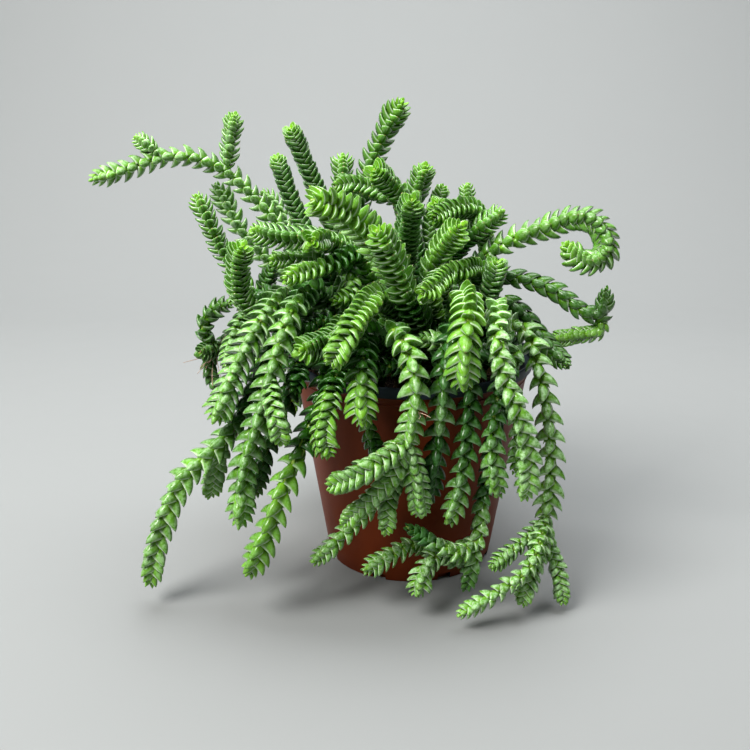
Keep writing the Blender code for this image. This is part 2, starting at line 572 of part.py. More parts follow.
class Crowd:
    """Every shoot's centreline as one list of spots, with what each spot needs to know of its neighbours."""

    def __init__(self, shoots):
        self.first = np.concatenate(([0], np.cumsum([len(shoot.points) for shoot in shoots])))
        self.home = np.vstack([shoot.points for shoot in shoots])
        names = [shoot.node for shoot in shoots]
        self.shoot = np.repeat(np.arange(len(shoots)), np.diff(self.first))
        self.node = np.array([names.index(name) for name in names])[self.shoot]
        self.previous = np.arange(len(self.home)) - 1
        self.following = np.arange(len(self.home)) + 1
        self.along = np.zeros(len(self.home))
        self.reach = np.zeros(len(self.home))
        self.held = np.zeros(len(self.home), bool)
        self.joints = []
        for number, shoot in enumerate(shoots):
            self.add(number, shoot, shoots)

    def add(self, number, shoot, shoots):
        begin, end = self.first[number], self.first[number + 1]
        along = lengths_along(shoot.points)
        self.along[begin:end] = along
        self.reach[begin:end] = shoot.reach_at(along, along[-1]) + AIR / 2
        self.following[end - 1] = end - 1
        if shoot.parent is None:
            self.previous[begin] = begin
            self.held[begin:end] = along < BARE_LENGTH
        else:
            self.previous[begin] = self.first[shoots.index(shoot.parent)] + shoot.joint
            self.joints.append((begin, self.previous[begin]))

    def close_pairs(self, spots):
        """Pairs of spots that may touch, apart from those on one plant near their fork."""
        gap = np.sqrt(sum((spots[:, None, axis] - spots[None, :, axis]) ** 2 for axis in range(3)))
        close = gap < self.reach[:, None] + self.reach + LISTED_GAP
        past_fork = (self.along[:, None] + self.along > FORK_SPAN) & (
            np.minimum(self.along[:, None], self.along) > FORK_FREE)
        apart = (self.node[:, None] != self.node) | (
            (self.shoot[:, None] != self.shoot) & past_fork)
        return np.nonzero(np.triu(close & apart, 1))

    def pushed(self, spots, one, two):
        """Spots eased apart where they touch, more in depth than across."""
        between = spots[one] - spots[two]
        distance = np.maximum(np.linalg.norm(between, axis=1), 1e-6)
        overlap = self.reach[one] + self.reach[two] - distance
        hit = overlap > 0
        direction = between[hit] / distance[hit, None]
        depth = (direction * FORWARD).sum(axis=1)[:, None]
        across = direction - depth * FORWARD
        sign = np.where(depth >= 0, 1.0, -1.0)
        deeper = (DEPTH_EASE * np.abs(depth) + LEAST_DEPTH_EASE) * sign * FORWARD
        step = overlap[hit, None] * PUSH * (ACROSS_EASE * across + deeper)
        moves = np.zeros_like(spots)
        np.add.at(moves, one[hit], step)
        np.add.at(moves, two[hit], -step)
        touches = np.bincount(np.concatenate([one[hit], two[hit]]), minlength=len(spots))
        return spots + moves / np.maximum(touches, 1)[:, None]

    def smoothed(self, spots, share):
        """Spots whose shift from home is shared with their neighbours, so that each stem stays smooth."""
        shift = spots - self.home
        shift = (1 - share) * shift + share * 0.5 * (shift[self.previous] + shift[self.following])
        shift[self.held] = 0.0
        return self.home + shift

    def kept_clear(self, spots):
        """Spots clear of the pot, with every stem over the lip where it crosses it and on its own fork."""
        moved = clear_of_pot(spots, self.reach)
        moved[self.held] = spots[self.held]
        out = np.hypot(moved[:, 0], moved[:, 1])
        crossing = np.nonzero((out[self.previous] < WALL_TOP_RADIUS) & (out >= WALL_TOP_RADIUS))[0]
        for over in (crossing, self.previous[crossing]):
            moved[over, 2] = np.maximum(moved[over, 2], POT_HEIGHT + self.reach[over] + OVER_LIP)
        for begin, joint in self.joints:
            moved[begin] = moved[joint]
        return moved


def settle(shoots):
    """Moves the shoots' centrelines until crowded stems have room, with their feet held where they are."""
    crowd = Crowd(shoots)
    spots = crowd.home
    for turn in range(SETTLE_ROUNDS):
        if turn % LIST_EVERY == 0:
            one, two = crowd.close_pairs(spots)
        spots = crowd.pushed(spots, one, two)
        spots = crowd.smoothed(spots, SMOOTHING * math.sqrt(1 - turn / SETTLE_ROUNDS))
        spots = crowd.kept_clear(spots)
    for number, shoot in enumerate(shoots):
        shoot.points = np.round(spots[crowd.first[number]:crowd.first[number + 1]], 2)


def frames_along(shoot, stops, along):
    """Centres at the stops, with a forward, a side and a front direction at each."""
    centres = np.column_stack([np.interp(stops, along, shoot.points[:, axis]) for axis in range(3)])
    forward = np.gradient(centres, stops, axis=0)
    forward /= np.linalg.norm(forward, axis=1)[:, None]
    middle = int(np.argmin(np.abs(forward @ FORWARD)))
    fronts = np.zeros_like(forward)
    facing = -FORWARD - (-FORWARD @ forward[middle]) * forward[middle]
    fronts[middle] = facing / np.linalg.norm(facing)
    for order in (range(middle + 1, len(stops)), range(middle - 1, -1, -1)):
        last = fronts[middle]
        for number in order:
            last = last - (last @ forward[number]) * forward[number]
            last = last / np.linalg.norm(last)
            fronts[number] = last
    sides = np.cross(fronts, forward)
    return (centres, forward, np.cos(shoot.turn) * sides + np.sin(shoot.turn) * fronts,
            np.cos(shoot.turn) * fronts - np.sin(shoot.turn) * sides)


def taken_space(shoots):
    """Every centreline as close-set spots, with the reach around each and the node it belongs to."""
    spots = []
    reaches = []
    nodes = []
    for shoot in shoots:
        along = lengths_along(shoot.points)
        stops = np.linspace(0.0, along[-1], int(along[-1]) + 2)
        spots.append(np.column_stack([np.interp(stops, along, shoot.points[:, axis]) for axis in range(3)]))
        reaches.append(shoot.reach_at(stops, along[-1]))
        nodes += [shoot.node] * len(stops)
    return np.vstack(spots), np.concatenate(reaches), np.array(nodes)


def is_free(tips, node, taken):
    """Whether each leaf tip is clear of every other stem's reach, of the pot and of the mix."""
    spots, reaches, nodes = taken
    others = nodes != node
    distance = np.linalg.norm(tips[:, None] - spots[others][None], axis=2)
    clear = (distance > reaches[others][None] + AIR).all(axis=1)
    return clear & (clear_of_pot(tips, np.full(len(tips), AIR)) == tips).all(axis=1)


def leaf_stops(shoot, total):
    """Lengths along a strand where its leaf pairs sit, after the rings of its bare foot."""
    bare = [0.0, MIX_TOP - HOLE_FLOOR] if shoot.parent is None else []
    start = BARE_LENGTH + 1.0 if shoot.parent is None else FORK_START
    end = total - BUD_LENGTH * shoot.reach_at(total, total)
    pitch = max(SHORTEST_PITCH, COARSER * shoot.pitch)
    count = max(3, round((end - start) / pitch))
    stops = np.array(bare + list(np.linspace(start, end, count)))
    lean = LEAF_LEAN + BUD_LEAN * np.clip(1 - (end - stops) / (BUD_PAIRS * pitch), 0, 1)
    return stops, lean, len(bare)


def shoot_mesh(shoot, taken):
    """A closed leafy strand: at each stop two leaves point out and forward, and the next pair is a quarter
    turn on. Each leaf is a four-sided point on the strand's core."""
    along = lengths_along(shoot.points)
    total = along[-1]
    stops, lean, bare = leaf_stops(shoot, total)
    centres, forward, sides, fronts = frames_along(shoot, stops, along)
    reach = shoot.reach_at(stops, total)
    core = np.minimum(CORE_SHARE * shoot.reach, THINNEST_CORE * reach)
    core[:bare] = STEM_FOOT_RADIUS
    even = (np.arange(len(stops)) % 2 == 0)[:, None]
    axes = np.where(even, sides, fronts)
    crosses = np.where(even, fronts, -sides)
    rings = np.zeros((len(stops), 4, 3))
    rings[:, 1] = centres + crosses * core[:, None]
    rings[:, 3] = centres - crosses * core[:, None]
    for corner, outward in ((0, axes), (2, -axes)):
        tips = centres + outward * np.maximum(core, LEAST_SHARE * reach)[:, None]
        for share in LEAF_SHARES:
            length = np.maximum(core, share * reach)[:, None]
            trial = centres + outward * length + forward * lean[:, None] * length
            free = is_free(trial, shoot.node, taken)
            tips[free] = trial[free]
        tips[:bare] = (centres + outward * STEM_FOOT_RADIUS)[:bare]
        rings[:, corner] = tips
    vertices = list(rings.reshape(-1, 3)) + [centres[0], shoot.points[-1]]
    return vertices, strand_faces(len(stops))


def strand_faces(rings):
    """Triangles between rings of four points, each ring a quarter turn on from the one before."""
    faces = []

    def corner(ring, quarter):
        # Ring points are numbered from that ring's own leaf, so even quarters of even rings are leaf tips
        return 4 * ring + (quarter - ring % 2) % 4

    for ring in range(rings - 1):
        for quarter in range(4):
            beside = (quarter + 1) % 4
            low = corner(ring, quarter)
            low_beside = corner(ring, beside)
            high = corner(ring + 1, quarter)
            high_beside = corner(ring + 1, beside)
            leaf_below = (quarter - ring) % 2 == 0
            if leaf_below:
                faces += [(low, low_beside, high), (low_beside, high_beside, high)]
            else:
                faces += [(low, low_beside, high_beside), (low, high_beside, high)]
    foot = 4 * rings
    apex = foot + 1
    for quarter in range(4):
        beside = (quarter + 1) % 4
        faces.append((foot, corner(0, beside), corner(0, quarter)))
        faces.append((apex, corner(rings - 1, quarter), corner(rings - 1, beside)))
    return faces


def make_stem(node, shoots, taken, look):
    """One rooted stem with its side branches, fused."""
    own = [shoot for shoot in shoots if shoot.node == node]
    stem = add_object(node, *shoot_mesh(own[0], taken), look)
    if len(own) > 1:
        branches = bpy.data.collections.new(node + "_branches")
        bpy.context.scene.collection.children.link(branches)
        for number, shoot in enumerate(own[1:]):
            part = add_object(f"{node}_branch_{number}", *shoot_mesh(shoot, taken), look)
            bpy.context.scene.collection.objects.unlink(part)
            branches.objects.link(part)
        boolean(stem, branches, "UNION")
    return stem


def main():
    clear_scene()
    plastic = material("pot_plastic", (0.23, 0.05, 0.025), 0.45)
    soil = material("soil", (0.045, 0.03, 0.02), 0.95)
    leaf = material("leaf", (0.13, 0.32, 0.05), 0.4)
    shoots = all_shoots()
    roots = [shoot.points[0][:2] for shoot in shoots if shoot.parent is None]
    settle(shoots)
    taken = taken_space(shoots)
    make_pot(plastic)
    make_mix(roots, soil)
    for node in dict.fromkeys(shoot.node for shoot in shoots):
        make_stem(node, shoots, taken, leaf)


main()
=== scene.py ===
"""The look of a trailing crassula in its nursery pot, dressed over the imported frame.

Lengths are in millimetres until a mesh is made, and in metres from there on. The stems follow the same routes
and settle in the same way as the frame's, so that each leafy stem lies where its solid does.
"""

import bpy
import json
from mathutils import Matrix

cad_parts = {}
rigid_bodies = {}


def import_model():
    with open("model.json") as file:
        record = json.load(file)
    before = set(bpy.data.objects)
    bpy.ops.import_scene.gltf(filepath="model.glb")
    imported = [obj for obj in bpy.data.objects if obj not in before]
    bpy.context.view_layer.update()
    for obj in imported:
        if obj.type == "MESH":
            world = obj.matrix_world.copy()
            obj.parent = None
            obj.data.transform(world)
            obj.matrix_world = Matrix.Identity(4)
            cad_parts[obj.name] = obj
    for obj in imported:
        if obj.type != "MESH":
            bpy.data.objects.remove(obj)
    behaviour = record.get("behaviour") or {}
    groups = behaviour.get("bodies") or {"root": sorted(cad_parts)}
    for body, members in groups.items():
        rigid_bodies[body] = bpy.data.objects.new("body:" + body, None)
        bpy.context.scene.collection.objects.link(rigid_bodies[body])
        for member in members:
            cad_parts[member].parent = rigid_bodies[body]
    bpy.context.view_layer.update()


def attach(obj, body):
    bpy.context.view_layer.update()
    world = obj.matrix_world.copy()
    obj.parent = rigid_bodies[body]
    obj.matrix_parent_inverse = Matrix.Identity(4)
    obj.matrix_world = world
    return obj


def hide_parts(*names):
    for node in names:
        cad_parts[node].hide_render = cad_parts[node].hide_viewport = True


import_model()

import json
import math
from collections import namedtuple

import bpy
import numpy as np
from mathutils import Vector, noise

MM = 0.001

# Pot: a thin nursery pot of 9 cm across the lip
POT_SIDES = 144
FOOT_RADIUS = 31.0
WALL_TOP_RADIUS = 43.0
LIP_RADIUS = 45.0
WALL_TOP = 74.2
LIP_FOOT = 75.0
POT_HEIGHT = 78.8
WALL = 1.0
FLOOR = 1.2
DRAIN_COUNT = 8
DRAIN_SIZE = (5.0, 5.0, 5.0)
POT_CREASE = math.radians(40)

# Where the pot is black: this far above its wall's top, and inside, this far in from the wall's outer face
# and above the surface that it stands on
BLACK_RISE = 0.1
BLACK_DEPTH = 0.4
BLACK_FLOOR = 0.9

# Potting mix, and the holes that the stems stand in
MIX_TOP = 71.5
FIT = 0.3
HOLE_FLOOR = 63.5
STEM_FOOT_RADIUS = 1.8

# Leafy stems: how a stem's leaves grow out to their full reach above its bare foot or past a fork, and close
# in again towards its bud
SAMPLE = 3.0
BARE_TOP = 74.5
BARE_LENGTH = BARE_TOP - HOLE_FLOOR
FOOT_RAMP = 9.0
FORK_START = 1.2
FORK_BACK = 2
FORK_RAMP = 5.0
FORK_SHARE = 0.5
TIP_RAMP = 5.0
TIP_SHARE = 0.62
AIR = 0.35

# Settling: crowded stems make room for each other in small steps, more in depth than across
ROOT_SPACING = 6.6
ROOT_CIRCLE = 36.5
ROOT_PUSH = 0.3
SETTLE_ROUNDS = 200
LIST_EVERY = 10
LISTED_GAP = 5.0
PUSH = 0.65
ACROSS_EASE = 0.35
DEPTH_EASE = 0.6
LEAST_DEPTH_EASE = 0.4
SMOOTHING = 0.5
FORK_SPAN = 26.0
FORK_FREE = 10.0
OVER_LIP = 1.0
LIP_ROUND = 0.5
OPEN_RADIUS = WALL_TOP_RADIUS - 4.0

# The spot that the stems' routes were sighted from, how far its view dips, and the distance at which a
# sighted millimetre is a real one
EYE = np.array((-13.4, -364.0, 184.2))
DIP = math.radians(17.5)
TRUE_DISTANCE = 380.0
FORWARD = np.array((0.0, math.cos(DIP), -math.sin(DIP)))
UPWARD = np.array((0.0, math.sin(DIP), math.cos(DIP)))

# Stems out of sight, behind the others: bearings in degrees, radii and heights in millimetres
HIDDEN_SEED = 9
HIDDEN_HANGING = 9
HANGING_BEARINGS = (50, 150)
HANGING_ROOTS = (35, 31)
OVER_RIM_RADIUS = 47
CREST_HEIGHTS = (91, 99)
HANGING_RADII = (54, 60)
HANGING_ENDS = (8, 50)
FORK_ENDS = (30, 62)
HANGING_REACHES = (4.2, 5.0)
HANGING_PITCH = 2.4
FORK_PITCH = 2.2
FORK_SHORTER = 0.5
HIDDEN_UPRIGHT = 5
UPRIGHT_BEARINGS = (40, 140)
UPRIGHT_ROOT = 24
UPRIGHT_TOPS = (100, 112)
UPRIGHT_REACHES = (4.4, 5.2)
UPRIGHT_PITCH = 1.4

# Leaves: where the rings of points are along one, and how many points a ring has, for strands whose pairs
# are loose or close-set and for the leaflets in their axils
LOOSE_RINGS = (0.0, 0.15, 0.33, 0.52, 0.72, 0.88)
LOOSE_SIDES = 8
CLOSE_RINGS = (0.0, 0.2, 0.42, 0.65, 0.85)
CLOSE_SIDES = 6
LEAFLET_RINGS = (0.0, 0.3, 0.68)
LEAFLET_SIDES = 6

# A strand goes from close-set to loose between two pitches, and from a share of the way on it gets the finer
# leaves and the leaflets
CLOSE_PITCH = 1.5
LOOSE_PITCH = 2.4
FINE_FROM = 0.3
LEAFLETS_FROM = 0.4

# A leaf's angles from its stem at its base and its tip, in degrees
CLOSE_ANGLES = (78.0, 34.0)
LOOSE_ANGLES = (87.0, 36.0)
PRESSED_ANGLES = (70.0, 14.0)
BUD_ANGLES = (27.0, 10.0)
ANGLE_SPREAD = 4.0
SWING_SPREAD = 5.0

# A leaf's size: its width is a share of its length, and less of it where leaves reach far
REACH_SHARE = 0.98
REACH_SPREAD = 0.05
PRESSED_LENGTH = 0.85
WIDTH = 0.88
REACH_OF_WIDTH = 4.5
NARROWER = 0.12
WIDEST = 0.98
BROADER = {"right_curl": 1.22}
LEAF_ROOT = 0.5
LEAF_SHARES = (0.6, 0.8, 1.0)
LEAF_SEED = 100

# Buds: the crowding of pairs towards the tip, as a length and a power, and how pairs open and grow
FIRST_LEAF = 0.4
BUD_REACH = 0.42
PITCH_SPREAD = (0.94, 1.06)
TIGHT_PITCHES = 4.5
TIGHT_EXTRA = 3.0
TIGHTEST = 0.42
CROWDING = 1.2
LONG_BUDS = {"right_curl": (60.0, 3.0)}
BUD_PAIRS = 4.5
OPEN_START = 0.8
OPENING = 0.8
YOUNGEST = 0.38
GROWTH = 0.14

# A leaf's body: how its width and depth run out to the tip, and how its flesh rounds out
TAPER = 0.68
LOOSE_TAPER = 0.24
FULLEST = 1.12
BASE_WIDTH = 0.80
DEPTH_TAPER = 0.85
BASE_DEPTH = 1.0
LOOSE_BASE_DEPTH = 1.65
TIP_DEPTH = 1.15
FLESH_OUT = 0.44
FLESH_IN = 0.18
FLESH_POWER = 1.15
CUP = 0.15
KEEL = 1.12

# Leaflets in the axils of loose strands
LEAFLET_CHANCE = 0.75
LEAFLET_RANK = 3
LEAFLET_RISE = 0.5
LEAFLET_SWING = 28.0
LEAFLET_FIRST = (52.0, 66.0)
LEAFLET_LAST = (20.0, 34.0)
LEAFLET_LENGTHS = (0.38, 0.52)
LEAFLET_WIDTH = 0.66
LEAFLET_LIGHTNESS = 0.4
LEAFLET_FRESH = 0.85
LEAFLET_BLOOM = 0.05
LEAFLET_SHADE = 0.7

# The stem inside its leaves
CORE_SIDES = 7
CORE_SPACING = 1.7
CORE_SHARE = 0.27
CORE_RADII = (0.9, 1.5)
CORE_TIP = 0.3
CORE_TIP_RAMP = 6.0
CORE_TIP_SHARE = 0.25
BARE_FADE = 3.0
BARE_RAMP = 6.0
WOODY_FADE = 12.0
WOODY_RAMP = 14.0

# Painted shade: leaves deep among other stems are painted darker, as though shaded by them
SHADE_REACH = 16.0
SHADE_UP = 0.8
SHADE_OUT = 0.6
SHADE_LEVELS = (1.0, 19.0)
DEEPEST = 0.88

# Dry aerial roots: the stem, how far along it they start, how many there are and where they head
THREAD_SEED = 5
THREAD_LENGTHS = (7.0, 12.0)
THREAD_RADIUS = 0.2
THREAD_SIDES = 5
THREAD_SPACING = 0.8
THREAD_STOPS = (0.0, 0.3, 0.6, 1.0)
THREAD_SPREAD = 0.4
THREAD_BEND = 0.35
THREAD_TIP = 0.4
THREADS = (("stem_left_loop", 0.80, 12, (-0.1, -0.9, -0.1)),
           ("stem_front_cascade", 0.86, 3, (0.8, -0.6, 0.6)))

# How fresh, waxy and dark a stem's leaves are: the usual tone, and the stems that differ from it
USUAL_TONE = (0.34, 0.27, 0.0)
TONES = {
    (0.26, 0.14, 0.24): (
        "top_spire right_thick crown_right crown_front left_column left_upright back_short far_right_pair "
        "great_front left_level right_nod front_fan centre_drop"),
    (0.66, 0.25, 0.0): (
        "great_left front_ladder front_left_fall front_pendant front_left_drop right_broad front_nod "
        "front_left_long left_nod"),
    (0.40, 0.66, 0.0): "left_long left_fall left_broad left_inner_fall left_arch front_cascade",
    (0.42, 1.0, 0.0): (
        "left_grey front_strand right_strand right_fall right_long right_weave right_inner_fall"),
    (0.12, 0.35, 0.50): (
        "dark_column tall_left_outer tall_left_inner right_column right_arch right_spray left_loop"),
}
TONE_OF = {name: tone for tone, names in TONES.items() for name in names.split()}
FORK_TONES = {"right_arch": (0.62, 0.30, 0.0)}
YOUNG_FRESH = 0.95
YOUNG_PAIRS = 7.0
YOUNG_BLOOM = 0.7
AGED = ("left_loop", "right_arch", "right_spray")
AGED_YOUTH = 0.25
PRESSED = ("right_arch", "right_spray")

# The surface of the potting mix, and the chips on it
MIX_RINGS = 26
MIX_SIDES = 90
MIX_DROP = 0.6
MIX_LUMPS = 0.9
LUMP_SCALE = 0.22
LUMP_NOISE = (0.8, 2.2, 5)
MIX_CREASE = math.radians(50)
EDGE_DROP = 0.8
HEAP_LIGHTNESS = 0.3
CHIP_SEED = 7
CHIP_COUNT = 1500
CHIP_SHAPE = (1.0, 0.62, 0.38)
CHIP_ROUGHNESS = (0.55, 1.1)
CHIP_TILT = 0.45
CHIP_SIZES = (0.5, 2.1)
CHIP_EDGE = 1.2
CHIP_SINK = 0.3
CHIP_RISE = (-0.4, 0.7)
GRAIN_CHANCE = 0.035
GRAIN_SIZES = (0.5, 0.9)
TURNED_OVER = [0, 3, 2, 1]
BOX_FACES = ((0, 3, 2, 1), (4, 5, 6, 7), (0, 1, 5, 4), (1, 2, 6, 5), (2, 3, 7, 6), (3, 0, 4, 7))

# Colours of the leaves
DEEP_GREEN = (0.007, 0.072, 0.0015)
FRESH_GREEN = (0.155, 0.370, 0.007)
CLOUD_GREEN = (0.045, 0.200, 0.006)
WAX_AND_HIGHLIGHT = (0.375, 0.575, 0.310)
PORE_AND_GLINT = (0.560, 0.720, 0.480)
BASE_GREEN_AND_GLOW = (0.165, 0.390, 0.010)
EDGE_GREEN = (0.165, 0.420, 0.045)
PALE_MARGIN_AND_HIGHLIGHT = (0.660, 0.770, 0.590)
KEEL_HIGHLIGHT = (0.440, 0.600, 0.300)
DRY_TIP = (0.230, 0.130, 0.060)
YOUNG_STEM = (0.230, 0.360, 0.050)
WOODY_STEM = (0.130, 0.085, 0.035)
# Painted shade's tint, which the deepest-shaded and darkest-toned leaves are multiplied by
DEEPEST_SHADE = (0.09, 0.22, 0.09)

# Colours of the pot, each with its worn tone, of the mix, the roots and the paper. The pot's black and its
# worn tone are tinted blue-grey as a painted sheen
POT_BROWN = (0.150, 0.026, 0.006)
WORN_BROWN = (0.190, 0.042, 0.016)
POT_BLACK_AND_SHEEN = (0.022, 0.032, 0.042)
WORN_BLACK = (0.055, 0.074, 0.090)
DARK_CRUMB = (0.012, 0.008, 0.005)
LIGHT_CRUMB = (0.085, 0.050, 0.028)
DAMP_CRUMB = (0.030, 0.019, 0.012)
PALE_GRAIN = (0.62, 0.60, 0.54)
DARK_ROOT = (0.30, 0.17, 0.11)
LIGHT_ROOT = (0.58, 0.42, 0.32)
PAPER = (0.215, 0.222, 0.221)

# The studio, in metres: the paper's half width, its front edge, the curve up at its back, and its top, and
# the lights, each with its place, size, power, colour and the point that it faces
PAPER_HALF = 2.0
PAPER_FRONT = -1.2
CURVE_START = 0.35
CURVE_RADIUS = 0.4
CURVE_TURNS = (0.1, 1.5, 14)
PAPER_BACK = 0.76
PAPER_TOP = 2.0
PLANT = (0.0, 0.0, 0.06)
BACKDROP = (0.0, 0.76, 0.45)
LIGHTS = (
    ("key", (-0.50, -0.50, 0.80), 0.5, 20.5, (1.0, 0.99, 0.96), PLANT),
    ("top", (0.10, 0.20, 0.95), 0.9, 11.0, (0.97, 0.99, 1.0), PLANT),
    ("fill", (0.80, -0.60, 0.45), 0.8, 0.9, (0.97, 0.98, 1.0), PLANT),
    ("wash", (0.0, 0.20, 0.90), 0.9, 10.5, (0.99, 1.0, 1.0), BACKDROP))
SKY_COLOUR = (0.85, 0.90, 0.92, 1.0)
SKY_STRENGTH = 0.05

# The camera
LENS = 49.06
CLIP_START = 0.01

Strand = namedtuple("Strand", "reach pitch turn route")

